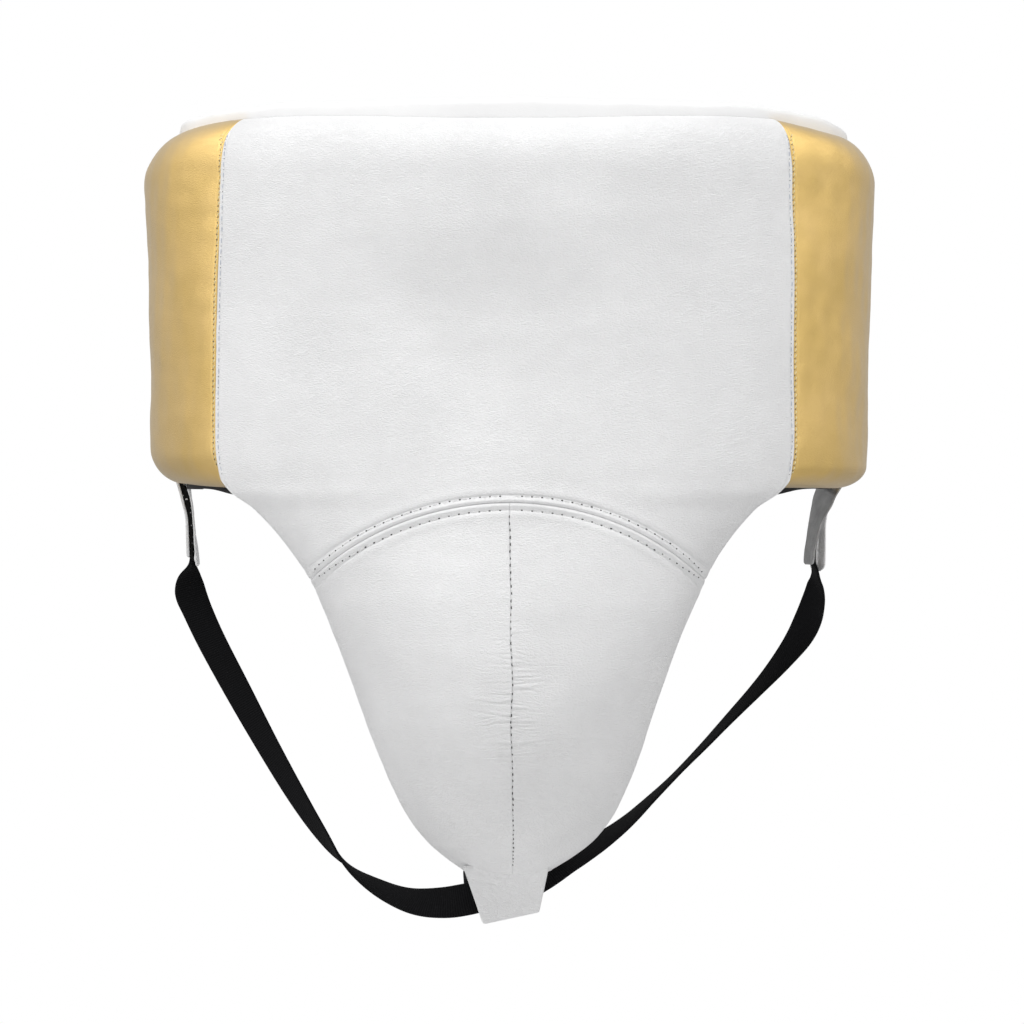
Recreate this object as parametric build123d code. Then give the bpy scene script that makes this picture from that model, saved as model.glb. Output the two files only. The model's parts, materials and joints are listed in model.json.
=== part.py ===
from build123d import *
import math
import os

# A boxer's groin guard: a padded belt with hinged hip wings, a cup that hangs from its front,
# elastic bands that close it behind, and two leg straps. The wearer faces -Y and +Z is up.
# The origin is the middle of the waist opening, half-way up the belt.

# Belt seen from above: every skin and layer of it lies on one family of ellipses
belt_half_width = 174.0       # outer skin at the hips, at the belt's top
belt_half_depth = 115.0       # outer skin, from the widest point forward
belt_centre_y = -12.0         # where the belt is widest
belt_taper = 0.033            # each hip comes in by this much per mm of drop
belt_top = 85.0
belt_bottom = -85.0
pad_thickness = 15.5          # cover and foam
cover_thickness = 1.3
belt_liner_thickness = 5.7    # padded lining of the belt
layer_gap = 0.35              # between layers that lie on each other

# Rounded edges of the padding
front_roll_height = 24.0
wing_roll_height = 20.0
wing_bottom_roll_height = 16.0
roll_steps = (12, 30, 50, 70, 90)   # degrees round the roll, from its crest to the outer skin

# Seam and hinge line between the front and each wing
seam_angle = 50.0             # degrees round the ellipse from the front
seam_gap = 0.4
wing_reach = 110.0            # degrees, end of the wing's padding
liner_overhang = 8.0          # degrees that the wing's lining goes on beyond its padding
anchor_span = 4.5             # degrees of that overhang that the band's reinforcement covers
wing_bottom = -84.0

# Rim of the lining, which stands above the padding and falls towards the back
rim_height = 14.0
rim_front_top = 92.7
rim_fall = 0.08               # drop per mm towards the back
rim_edge_radius = 2.4

# Yoke and cup: (height, half width, wrap angle, front y, edge y, side padding, front padding)
cup_stations = (
    (-86.0, 127.0, 56.0, -128.5, -89.0, 15.5, 15.5),
    (-94.0, 114.0, 62.0, -131.0, -93.0, 15.5, 15.5),
    (-102.0, 106.5, 67.0, -132.5, -91.5, 15.0, 15.5),
    (-110.0, 101.0, 72.0, -134.0, -90.0, 14.5, 16.0),
    (-126.0, 91.5, 82.0, -137.0, -86.0, 14.0, 16.0),
    (-142.0, 85.0, 88.0, -139.5, -82.0, 13.5, 16.0),
    (-159.0, 79.0, 90.0, -140.5, -79.0, 13.0, 16.0),
    (-178.0, 72.5, 90.0, -139.5, -76.0, 13.0, 16.3),
    (-196.0, 66.0, 90.0, -136.5, -73.0, 13.0, 17.0),
    (-212.0, 59.0, 90.0, -131.0, -70.0, 13.0, 18.5),
    (-226.0, 51.0, 90.0, -123.5, -68.0, 12.5, 21.0),
    (-238.0, 43.0, 90.0, -114.0, -66.0, 12.0, 24.0),
    (-248.0, 34.5, 90.0, -103.0, -65.0, 11.5, 26.0),
    (-256.0, 25.5, 90.0, -91.5, -64.0, 11.0, 21.0),
    (-261.0, 18.5, 90.0, -82.0, -64.0, 9.0, 14.0),
)
cup_arc_half_chord = 91.0     # arc seam between yoke and cup, seen from the front
cup_arc_rise = 35.0
cup_arc_top = -91.0
cup_seam_gap = 0.5
cup_liner_thickness = 2.6
cup_liner_bottom = -244.0

# Hard shell inside the cup, as shares of the cup's padding from the outside in
shell_outside, shell_inside = 0.50, 0.68
cushion_outside, cushion_inside = 0.72, 0.95
shell_bottom = -240.0
shell_margin = 5.0            # from the arc seam to the shell's top edge
vent_radius = 2.5
vent_rows = 3
vent_pitch = 14.0

# Tail of leather under the cup, with the leg elastic behind it
tail_top_half_width = 18.5
tail_bottom_half_width = 12.3
tail_length = 24.5
tail_thickness = 2.4
tail_front_y = -65.0
tail_lean = 8.0               # degrees that it leans back
tail_backing_left, tail_backing_right = -20.5, 8.0
tail_backing_height = 21.0
tail_gap = 3.9                # between tail and backing, where both elastics end

# Hip tabs and leg straps
strap_width = 15.0
strap_thickness = 1.5
tab_width = 22.0
tab_thickness = 4.8
tab_height = 33.5
tab_y = -5.0
tab_insertion = 24.0
slot_clearance = 0.25
tab_corner = 3.0
left_tab_depth, left_tab_turn = 23.0, 0.0      # in from the belt's widest point
right_tab_depth, right_tab_turn = 26.0, 24.0

# Route of each leg elastic from its tab to the tail: share of the tab's distance from the
# middle, y, z, and the turn of its width there
left_strap_route = (
    (1.023, -3, -126, 40), (1.017, 0, -134, 80), (1, 3, -141, 105), (0.957, 6, -156, 112),
    (0.887, 8, -176, 118), (0.775, 5, -207, 131), (0.666, -5, -234, 142),
    (0.579, -15, -252, 156), (0.517, -22, -262.5, 178), (0.424, -33, -271, 202),
    (0.351, -42, -275.5, 216), (0.278, -50, -277.7, 234), (0.199, -56, -277.3, 250),
    (0.136, -58.7, -275.5, 268), (0.079, -59.1, -273.5, 278), (0.02, -59.4, -271.5, 278),
)
right_strap_route = (
    (0.993, 2, -134, 45), (0.956, 18, -150, 115), (0.895, 30, -164, 128), (0.811, 38, -180, 142),
    (0.716, 38, -196, 158), (0.632, 30, -209, 167), (0.541, 18, -221.5, 176),
    (0.453, 4, -232, 190), (0.372, -12, -242, 204), (0.291, -28, -249.5, 213),
    (0.196, -45, -257, 222), (0.149, -52, -261.5, 236), (0.115, -57, -265.5, 255),
    (0.084, -59.6, -269.5, 272), (0.054, -59.6, -271.3, 278), (0.02, -59.6, -272, 278),
)

# Elastic bands that close the belt behind, with hook tab (left) and loop patch (right)
band_thickness = 2.5
band_height = 90.0
band_depth = 16.2             # from the outer skin's ellipse in to the band
band_end_angle = 172.6
band_gap = 0.4
patch_thickness = 1.4
patch_margin = 4.0            # from the band's long edges to a patch
hook_tab_start = 160.0
hook_patch_start = 162.0
loop_patch_start = 146.0
anchor_thickness = 1.5


liner_reach = wing_reach + liner_overhang


def half_width_at(z):
    """Half width of the belt's outer skin at a height."""
    return belt_half_width - belt_taper * (belt_top - z)


def ellipse_point(a, b, centre_y, angle, z):
    """Point on an ellipse, by its angle from the front towards +X."""
    turn = math.radians(angle)
    return Vector(a * math.sin(turn), centre_y - b * math.cos(turn), z)


def ellipse_heading(a, b, angle):
    """Unit direction along the ellipse at an angle."""
    turn = math.radians(angle)
    return Vector(a * math.cos(turn), b * math.sin(turn), 0).normalized()


def plan_face(z, a, b, centre_y, outer, inner, start, end, start_bulge=0.0, end_bulge=0.0):
    """Horizontal slice of a layer: two ellipse arcs joined by straight or rounded ends.

    outer and inner are (side, front) distances in from the ellipse a, b.
    """
    count = 11
    angles = [start + (end - start) * i / (count - 1) for i in range(count)]
    outside = [ellipse_point(a - outer[0], b - outer[1], centre_y, t, z) for t in angles]
    inside = [ellipse_point(a - inner[0], b - inner[1], centre_y, t, z) for t in angles]
    end_mid = (outside[-1] + inside[-1]) / 2 + ellipse_heading(a, b, end) * end_bulge
    start_mid = (outside[0] + inside[0]) / 2 - ellipse_heading(a, b, start) * start_bulge
    if end_bulge:
        end_edge = Edge.make_three_point_arc(outside[-1], end_mid, inside[-1])
    else:
        end_edge = Edge.make_line(outside[-1], inside[-1])
    if start_bulge:
        start_edge = Edge.make_three_point_arc(inside[0], start_mid, outside[0])
    else:
        start_edge = Edge.make_line(inside[0], outside[0])
    edges = [Edge.make_spline(outside), end_edge, Edge.make_spline(inside[::-1]), start_edge]
    return Face(Wire(edges))


def roll_share(step):
    """How far in from the outer skin the roll has come, as a share of the padding."""
    return 1 - math.sin(math.radians(step))


def rolled(share_out, step):
    """Share of the padding at which a layer's outside lies, part of the way round the roll."""
    return share_out + (1 - share_out) * roll_share(step)


def belt_ellipse(z):
    """Half axes and centre of the belt's outer skin at a height."""
    return half_width_at(z), belt_half_depth, belt_centre_y


def roll_drop(step, height):
    """How far below its crest the roll is."""
    return height * (1 - math.cos(math.radians(step)))


def cup_ellipse(station):
    """Ellipse of a yoke or cup slice: its half axes and its centre."""
    _, half_width, wrap, front_y, edge_y, _, _ = station
    turn = math.radians(wrap)
    b = (edge_y - front_y) / (1 - math.cos(turn))
    return half_width / math.sin(turn), b, front_y + b


def front_layer(share_out, share_in, inset=0.0, trim=0.0, highest=None, lowest=None):
    """Layer of the front, from the belt's top roll down to the cup's tip.

    share_out and share_in say where it lies in the padding, from 0 outside to 1 inside.
    """
    rows = []
    belt_reach = seam_angle + 4
    for step in roll_steps:
        z = belt_top - inset - roll_drop(step, front_roll_height)
        rows.append((z, rolled(share_out, step), belt_reach, belt_ellipse(z), 1, 1, 2.0))
    for z in (25.0, -30.0, -72.0):
        rows.append((z, share_out, belt_reach, belt_ellipse(z), 1, 1, 2.0))
    for station in cup_stations:
        z, wrap, side, front = station[0], station[2], station[5], station[6]
        bulge = min(side / 2, 2.0 + (belt_bottom - z) * 0.6) if z > -96 else side / 2
        if station is cup_stations[-1]:
            z += 1.4 * inset
        rows.append((z, share_out, wrap - trim, cup_ellipse(station),
                     side / pad_thickness, front / pad_thickness, bulge))
    faces = []
    for z, share, reach, ellipse, side, front, bulge in rows:
        if (highest is None or z <= highest) and (lowest is None or z >= lowest):
            outer = (share * side * pad_thickness, share * front * pad_thickness)
            inner = (share_in * side * pad_thickness, share_in * front * pad_thickness)
            bulge = max(0.4, min(bulge - inset, 0.45 * (inner[0] - outer[0])))
            faces.append(plan_face(z, *ellipse, outer, inner, -reach, reach, bulge, bulge))
    return loft(faces, ruled=True)


def front_liner_layer():
    """Lining behind the front: thick on the belt, thin in the cup."""
    faces = []
    for z in (belt_top + 5, 25.0, -30.0, -72.0):
        a = half_width_at(z)
        near, far = pad_thickness + layer_gap, pad_thickness + layer_gap + belt_liner_thickness
        faces.append(plan_face(z, a, belt_half_depth, belt_centre_y, (near, near), (far, far),
                               -seam_angle - 4, seam_angle + 4, 0.4, 0.4))
    for station in cup_stations:
        z, wrap, side, front = station[0], station[2], station[5], station[6]
        if z < cup_liner_bottom:
            break
        a, b, centre_y = cup_ellipse(station)
        fade = max(0.0, min(1.0, (z + 130.0) / 45.0))
        thick = cup_liner_thickness + (belt_liner_thickness - cup_liner_thickness) * fade
        stretch = front / cup_stations[0][6]
        near = (side + layer_gap, front + layer_gap * stretch)
        far = (side + thick, front + thick * stretch)
        faces.append(plan_face(z, a, b, centre_y, near, far, -wrap + 1, wrap - 1, 0.4, 0.4))
    return loft(faces, ruled=True)


def seam_wedge(shift=0.0):
    """Everything in front of the two seams, as a tall prism; shift moves the seams outwards."""
    a, b = half_width_at(belt_top), belt_half_depth
    on_skin = ellipse_point(a, b, belt_centre_y, seam_angle, 0)
    along = ellipse_heading(a, b, seam_angle)
    inwards = Vector(-along.Y, along.X, 0)
    near = on_skin - inwards * 90 + along * shift
    far = on_skin + inwards * 60 + along * shift
    corners = [(near.X, near.Y), (far.X, far.Y), (-far.X, far.Y), (-near.X, near.Y)]
    return extrude(Plane.XY.offset(-320) * make_face(Polyline(*corners, close=True)), 460)


def hinge_point():
    """Where the seam meets the outer skin: the axis of each wing's hinge."""
    return ellipse_point(half_width_at(belt_top), belt_half_depth, belt_centre_y, seam_angle, 0)


def arc_drum(growth=0.0):
    """Drum along Y whose rim is the arc seam between yoke and cup."""
    radius = (cup_arc_half_chord**2 + cup_arc_rise**2) / (2 * cup_arc_rise)
    centre = cup_arc_top - radius
    return Plane.XZ.offset(0) * Pos(0, centre, 0) * Cylinder(radius + growth, 400)


def below(z, depth=260.0):
    """Block that holds everything under a height."""
    return Pos(0, 0, z - depth / 2) * Box(500, 500, depth)


def rim_block(drop, depth):
    """Slab that follows the rim's fall towards the back: its top lies drop under the rim."""
    pitch = math.degrees(math.atan(rim_fall))
    front_y = belt_centre_y - belt_half_depth + pad_thickness
    return (Pos(0, front_y, rim_front_top - drop) * Rot(X=-pitch)
            * Pos(0, 0, -depth / 2) * Box(600, 700, depth))


def cover_share():
    """The cover's thickness as a share of the padding."""
    return cover_thickness / pad_thickness


def front_padding():
    """Cover, foam and lining of the front, before they are parted at the arc seam."""
    wedge = seam_wedge()
    skin = front_layer(0, 1) - front_layer(cover_share(), 1.06, cover_thickness)
    foam = front_layer(cover_share() + 0.03, 0.98, cover_thickness + layer_gap)
    return skin & wedge, foam & wedge


def front_pieces():
    """Belt front, yoke and cup, each layer as its own solid."""
    skin, foam = front_padding()
    drum, wide_drum = arc_drum(), arc_drum(cup_seam_gap)
    cup_skin = skin & drum
    side_block = Pos(250 + cup_seam_gap / 2, 0, -150) * Box(500, 500, 400)
    shell_space = front_layer(shell_outside - 0.03, 1.1, 0.5, 3, belt_bottom, shell_bottom - 4)
    shell_drum = arc_drum(-shell_margin)
    hollow = shell_space & arc_drum(-shell_margin + layer_gap) & below(0)
    shell = front_layer(shell_outside, shell_inside, 1.0, 5, belt_bottom, shell_bottom)
    cushion = front_layer(cushion_outside, cushion_inside, 1.0, 5, belt_bottom, shell_bottom)
    liner = (front_liner_layer() & seam_wedge()) & rim_block(rim_height + layer_gap, 500)
    return {
        "front_cover": skin - wide_drum,
        "cup_cover_right": cup_skin & side_block,
        "cup_cover_left": cup_skin & mirror(side_block, Plane.YZ),
        "front_pad": foam - wide_drum,
        "cup_foam": (foam & drum) - hollow,
        "cup_shell": shell & shell_drum,
        "cup_cushion": cushion & shell_drum,
        "front_liner": liner,
        "front_rim": rim_band(-seam_angle - 4, seam_angle + 4) & seam_wedge(),
    }


def rim_band(start, end):
    """White rim on top of the lining, with a rounded top edge."""
    faces = []
    for z in (belt_top - 30, belt_top + 20):
        near, far = pad_thickness + layer_gap, pad_thickness + layer_gap + belt_liner_thickness
        faces.append(plan_face(z, half_width_at(z), belt_half_depth, belt_centre_y,
                               (near, near), (far, far), start, end))
    band = loft(faces, ruled=True) & rim_block(0, rim_height)
    top = band.faces().sort_by(Axis.Z)[-1]
    return fillet([e for e in top.edges() if e.length > 40], rim_edge_radius)


def wing_layer(share_out, share_in, inset=0.0):
    """Layer of the right wing's padding, rounded at its top, bottom and back."""
    rows = []
    for step in roll_steps:
        z = belt_top - inset - roll_drop(step, wing_roll_height)
        rows.append((z, step))
    rows += [(20.0, 90), (-25.0, 90)]
    for step in roll_steps[::-1]:
        z = wing_bottom + inset + roll_drop(step, wing_bottom_roll_height)
        rows.append((z, step))
    faces = []
    for z, step in rows:
        outer, inner = rolled(share_out, step) * pad_thickness, share_in * pad_thickness
        reach = wing_reach - 18 * roll_share(step) - 0.5 * inset
        faces.append(plan_face(z, half_width_at(z), belt_half_depth, belt_centre_y,
                               (outer, outer), (inner, inner), seam_angle - 5, reach,
                               0.0, 0.45 * (inner - outer)))
    return loft(faces, ruled=True)


def wing_pieces():
    """Right wing: cover, foam, lining, rim and the reinforcement that holds the band."""
    wedge = seam_wedge(seam_gap)
    inner = pad_thickness + layer_gap
    far = inner + belt_liner_thickness
    liner_rows = []
    for z, beyond in ((wing_bottom + 0.5, -14), (-70, -6), (-50, 4), (0, 4), (50, 4),
                      (70, -6), (belt_top + 5, -14)):
        liner_rows.append(plan_face(z, half_width_at(z), belt_half_depth, belt_centre_y,
                                    (inner, inner), (far, far), seam_angle - 5,
                                     liner_reach + beyond))
    liner = loft(liner_rows, ruled=True) & rim_block(rim_height + layer_gap, 500)
    anchor_out = inner - layer_gap - anchor_thickness
    half_height = band_height / 2 - patch_margin
    anchor = loft([
        plan_face(z, *belt_ellipse(z), (anchor_out, anchor_out),
                  (inner - layer_gap, inner - layer_gap), liner_reach - anchor_span, liner_reach + 4)
        for z in (-half_height, half_height)
    ], ruled=True)
    return {
        "wing_cover": wing_layer(0, 1) - wing_layer(cover_share(), 1.06, cover_thickness) - wedge,
        "wing_pad": wing_layer(cover_share() + 0.03, 0.98, cover_thickness + layer_gap) - wedge,
        "wing_liner": liner - wedge - behind_wing(),
        "wing_rim": rim_band(seam_angle - 5, wing_reach - 10) - wedge,
        "band_anchor": anchor - behind_wing(),
    }


def lining_end():
    """Where the right wing's lining ends, and the direction in which the band goes on."""
    mid = band_depth + band_thickness / 2
    a, b = half_width_at(0) - mid, belt_half_depth - mid
    return ellipse_point(a, b, belt_centre_y, liner_reach, 0), ellipse_heading(a, b, liner_reach)


def behind_wing():
    """Block that begins at the end of the right wing's lining."""
    start, heading = lining_end()
    return Plane(origin=start, x_dir=(0, 0, 1), z_dir=heading) * Pos(0, 0, 50) * Box(400, 100, 100)


def band_axis():
    """Axis of the right band's hinge, at the end of the wing's lining."""
    start, heading = lining_end()
    return start + heading * (band_gap + band_thickness / 2)


def band_strip(depth, thickness, start, end, height, rounded=False):
    """Upright strip that follows the back of the belt at a depth in from its skin."""
    bulge = thickness / 2 if rounded else 0.0
    face = plan_face(-height / 2, half_width_at(0), belt_half_depth, belt_centre_y,
                     (depth, depth), (depth + thickness,) * 2, start, end, bulge, bulge)
    return extrude(face, height)


def band_pieces():
    """Right band with its loop patch, and the pieces of the left band's end, right-handed."""
    axis = band_axis()
    mid = band_depth + band_thickness / 2
    a, b = half_width_at(0) - mid, belt_half_depth - mid
    start = math.degrees(math.atan2(axis.X / a, (belt_centre_y - axis.Y) / b))
    patch_height = band_height - 2 * patch_margin
    outside = band_depth - layer_gap - patch_thickness
    inside = band_depth + band_thickness + layer_gap
    end = band_end_angle - 0.5
    return {
        "band": band_strip(band_depth, band_thickness, start, band_end_angle, band_height, True),
        "loop_patch": band_strip(outside, patch_thickness, loop_patch_start, end, patch_height),
        "hook_tab": band_strip(outside, patch_thickness, hook_tab_start, end, patch_height, True),
        "hook_patch": band_strip(inside, patch_thickness, hook_patch_start, end, patch_height),
    }


def hip_tab(x, turn):
    """Leather sleeve that hangs from a wing and holds the end of a leg elastic."""
    top = wing_bottom + 0.5 - layer_gap
    plate = Box(tab_thickness, tab_width, tab_height)
    plate = fillet(plate.edges().filter_by(Axis.X).group_by(Axis.Z)[0], tab_corner)
    slot = Box(strap_thickness + 2 * slot_clearance, strap_width + 2 * slot_clearance,
               tab_insertion + slot_clearance)
    sleeve = plate - Pos(0, 0, -(tab_height - tab_insertion - slot_clearance) / 2) * slot
    return Pos(x, tab_y, top - tab_height / 2) * Rot(Z=turn) * sleeve


def strap_path(x, route):
    """Route of a strap as (point, turn), with its straight run inside the tab first."""
    mouth = wing_bottom + 0.5 - layer_gap - tab_height
    inside = [(Vector(x, tab_y, mouth + tab_insertion), 0), (Vector(x, tab_y, mouth - 0.5), 0)]
    return inside + [(Vector(x * share, y, z), turn) for share, y, z, turn in route]


def leg_strap(x, tab_turn, route, hand):
    """Flat elastic: a chain of turned cross-sections lofted along the route."""
    stops = strap_path(x, route)
    sections = []
    for i, (point, turn) in enumerate(stops):
        before, after = stops[max(i - 1, 0)][0], stops[min(i + 1, len(stops) - 1)][0]
        heading = (after - before).normalized() if i else Vector(0, 0, -1)
        if i < 2:
            heading = Vector(0, 0, -1)
        level = Vector(0, 1, 0) - heading * heading.Y
        level = level.normalized()
        side = heading.cross(level)
        fade = max(0.0, min(1.0, 1.5 - i / 2))
        angle = math.radians(hand * turn) + math.radians(-tab_turn * fade)
        across = level * math.cos(angle) + side * math.sin(angle)
        plane = Plane(origin=point, x_dir=across, z_dir=heading)
        sections.append(plane * Rectangle(strap_width, strap_thickness))
    return loft(sections, ruled=True)


def tail_pieces():
    """Leather tail under the cup and the fabric that closes it behind the elastic."""
    top = cup_stations[-1][0] - layer_gap
    outline = Polyline((-tail_top_half_width, 0), (tail_top_half_width, 0),
                       (tail_bottom_half_width, -tail_length),
                       (-tail_bottom_half_width, -tail_length), close=True)
    tail = extrude(Plane.XZ * make_face(outline), tail_thickness)
    backing = Pos((tail_backing_left + tail_backing_right) / 2, tail_gap + cover_thickness / 2,
                  -tail_backing_height / 2 - 1) * Box(
        tail_backing_right - tail_backing_left, cover_thickness, tail_backing_height)
    place = Pos(0, tail_front_y + tail_thickness, top) * Rot(X=tail_lean)
    return {"tail_tab": place * tail, "tail_backing": place * backing}


def build():
    """Every piece of the guard by its node name."""
    pieces = front_pieces()
    pieces |= tail_pieces()
    for name, solid in (wing_pieces() | band_pieces()).items():
        right, left = solid, mirror(solid, Plane.YZ)
        if name == "loop_patch":
            pieces[name] = right
        elif name in ("hook_tab", "hook_patch"):
            pieces[name] = left
        else:
            pieces[name + "_right"], pieces[name + "_left"] = right, left
    left_tab_x, right_tab_x = left_tab_depth - belt_half_width, belt_half_width - right_tab_depth
    pieces["hip_tab_left"] = hip_tab(left_tab_x, left_tab_turn)
    pieces["hip_tab_right"] = hip_tab(right_tab_x, right_tab_turn)
    pieces["leg_strap_left"] = leg_strap(left_tab_x, left_tab_turn, left_strap_route, 1)
    pieces["leg_strap_right"] = leg_strap(right_tab_x, right_tab_turn, right_strap_route, -1)
    return pieces


os.makedirs("parts", exist_ok=True)
for node, shape in build().items():
    export_step(shape, f"parts/{node}.step")
    print(node, len(shape.solids()), round(shape.volume, 1), shape.is_valid)
print("hinge", hinge_point(), "band", band_axis())
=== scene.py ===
import bpy
import bmesh
import json
import math
import numpy as np
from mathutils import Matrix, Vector

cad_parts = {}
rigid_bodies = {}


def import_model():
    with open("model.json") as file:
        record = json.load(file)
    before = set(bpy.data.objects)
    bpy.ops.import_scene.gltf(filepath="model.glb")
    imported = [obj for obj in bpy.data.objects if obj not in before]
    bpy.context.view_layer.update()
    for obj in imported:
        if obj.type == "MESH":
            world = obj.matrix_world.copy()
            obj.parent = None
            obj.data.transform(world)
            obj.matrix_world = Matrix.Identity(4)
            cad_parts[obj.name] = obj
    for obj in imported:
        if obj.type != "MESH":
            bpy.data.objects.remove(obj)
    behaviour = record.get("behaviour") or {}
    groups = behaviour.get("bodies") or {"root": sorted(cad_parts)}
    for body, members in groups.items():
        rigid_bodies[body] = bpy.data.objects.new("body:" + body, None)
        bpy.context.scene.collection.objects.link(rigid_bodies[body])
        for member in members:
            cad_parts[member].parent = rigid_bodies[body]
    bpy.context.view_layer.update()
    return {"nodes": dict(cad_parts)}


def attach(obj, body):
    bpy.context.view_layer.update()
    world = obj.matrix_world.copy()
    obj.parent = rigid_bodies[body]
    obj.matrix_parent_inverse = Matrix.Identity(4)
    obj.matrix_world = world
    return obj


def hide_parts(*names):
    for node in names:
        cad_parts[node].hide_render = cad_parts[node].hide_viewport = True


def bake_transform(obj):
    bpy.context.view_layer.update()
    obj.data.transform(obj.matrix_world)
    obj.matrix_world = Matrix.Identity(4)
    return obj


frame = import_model()
print("frame loaded")

mm = 0.001
scene = bpy.context.scene
rng = np.random.default_rng(11)
hands = dict(left=-1, right=1)  # the sign of x on each side

# The belt lies on ellipses seen from above; the yoke and the cup go on below it, slice by slice.
belt = dict(
    halfWidth=174.0, halfDepth=115.0, centreY=-12.0, taper=0.033, top=85.0, bottom=-84.0, padding=15.5,
    hingeAngle=50.0, seamAngle=51.0, wingEnd=110.0, linerEnd=118.0,
    flare={93.0: 0.0, 40.0: 0.0, 0.0: 0.05, -40.0: 0.6, -80.0: 2.2},  # forwards, by height
    legTop=-82, legStart=-97,  # between these heights the sides turn from flat seams to round edges
    sideDrop=8.0, dropAngles=(54, 88), dropHeights=(30, 85),
    seamRadius=150, wingRadius=152, backRadius=130)  # mm per radian, to turn angles into distances
cup = dict(
    # height, half width, wrap angle, front y, edge y, side padding, front padding
    slices=np.array([
        (-86, 127, 56, -129.6, -86.2, 15.5, 15.5), (-94, 114, 62, -130.5, -89.3, 15.5, 15.5),
        (-102, 106.5, 67, -131.8, -90.8, 15, 15.5), (-110, 101, 72, -133.5, -90, 14.5, 16),
        (-126, 91.5, 82, -137, -86, 14, 16), (-142, 85, 88, -139.5, -82, 13.5, 16),
        (-159, 79, 90, -140.5, -79, 13, 16), (-178, 72.5, 90, -139.5, -76, 13, 16.3),
        (-196, 66, 90, -136.5, -73, 13, 17), (-212, 59, 90, -131, -70, 13, 18.5),
        (-226, 51, 90, -123.5, -68, 12.5, 21), (-238, 43, 90, -114, -66, 12, 24),
        (-248, 34.5, 90, -103, -65, 11.5, 26), (-256, 25.5, 90, -91.5, -64, 11, 21),
        (-261, 18.5, 90, -82, -64, 9, 14)]),
    arcHalfChord=91.0, arcRise=35.0, arcTop=-91.0, bottom=-261.0, arcEdge=0.7,
    # beside the arc seam: height inwards, distance from the seam and width of each ridge or groove
    arcRidges=((-0.50, 1.3, 0.8), (0.45, 3.4, 0.5), (-0.25, 5.6, 1.5)))
lean = np.array([
    # height, then how far the whole lies to one side: left seam, middle, right seam, left hip, right hip
    (-262, -4.2, 0.9, 0.5, 0, 0), (-245, -4.2, 0.9, 3.4, 0, 0), (-236, -3.6, 0.8, 3, 0, 0),
    (-228, -2.8, 0.7, 1.6, 0, 0), (-206, -0.2, 0.3, -1.8, 0, 0), (-185, 0.5, 0.1, -3.6, 0, 0),
    (-162, 0.5, -0.1, -3.2, 0, 0), (-134, -0.5, -0.3, -1.8, 0, 0), (-112, -1.6, -0.4, -2.8, -1.8, 0),
    (-101, -2.3, -0.5, -2.8, -1.8, 0), (-92, -2.6, -0.6, -3, -1.8, 0), (-84, -2.4, -0.8, -2.6, -1.8, 0),
    (-77, -3.7, -0.9, -1.4, -1.8, 0), (-65, -4.9, -1, -0.6, -1.8, 0), (-34, -4, -1, -1.7, -1.4, -0.3),
    (10, -2.2, -1, -2.5, -0.9, -0.5), (31, -0.9, -1, -3.4, -0.9, -0.5), (50, 0.1, -1, -4.6, -0.9, -0.5),
    (60, 0.9, -1, -4.8, -0.9, -0.5), (69, 1.2, -1, -5.1, -0.9, -0.5), (77, 1, -1, -4.5, -0.9, -0.5),
    (85, 1.8, -1, -4.3, -0.9, -0.5), (95, 1.8, -1, -4.3, -0.9, -0.5)])
arcRadius = (cup["arcHalfChord"] ** 2 + cup["arcRise"] ** 2) / (2 * cup["arcRise"])
arcCentre = cup["arcTop"] - arcRadius


def smoothStep(low, high, at):
    t = np.clip((at - low) / (high - low), 0, 1)  # 0 below low, 1 above high, smooth between
    return t * t * (3 - 2 * t)


def bell(at, width):
    return np.exp(-(at / width) ** 2)  # 1 at zero, falling to 0 on both sides


def ridges(distance, rows, start=0):
    # adds a bell for each row of height, place and width
    for height, at, width in rows:
        start = start + height * bell(distance - at, width)
    return start


def fullness(at, power):
    # 1 along the middle, falling to 0 in a rounded curve towards -1 and 1
    return np.sqrt(np.clip(1 - at ** power, 0, 1))


def superellipse(around, flatPower, thickPower):
    # its two coordinates, -1 to 1: powers of the cosine and the sine that keep their sign
    c, s = np.cos(around), np.sin(around)
    return np.sign(c) * np.abs(c) ** flatPower, np.sign(s) * np.abs(s) ** thickPower


def unit(vectors):
    return vectors / np.linalg.norm(vectors, axis=-1)[..., None]  # the same directions, 1 long


def runLength(points, axis=0):
    # distance covered up to each point of a path, or the mean over all paths of a grid
    steps = np.linalg.norm(np.diff(points, axis=axis), axis=-1)
    return np.concatenate([[0], np.cumsum(steps if steps.ndim == 1 else steps.mean(1 - axis))])


def smoothThrough(knots, values, at):
    # cubic through the knots whose slopes are limited so that it never overshoots between two of them
    step, rise = np.diff(knots), np.diff(values)
    slope = rise / step
    both = slope[:-1] + slope[1:]
    inner = np.where(slope[:-1] * slope[1:] > 0, 2 * slope[:-1] * slope[1:] / np.where(both == 0, 1, both), 0)
    tangent = np.concatenate([slope[:1], inner, slope[-1:]])
    at = np.clip(at, knots[0], knots[-1])
    i = np.clip(np.searchsorted(knots, at) - 1, 0, len(knots) - 2)
    h = step[i]
    t = (at - knots[i]) / h
    return (values[i] * (1 + 2 * t) * (1 - t) ** 2 + tangent[i] * h * t * (1 - t) ** 2
            + values[i + 1] * t * t * (3 - 2 * t) + tangent[i + 1] * h * t * t * (t - 1))


def readTable(table, at):
    # the table's other columns where its first column has this value
    return [smoothThrough(table[:, 0], table[:, k], at) for k in range(1, table.shape[1])]


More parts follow.
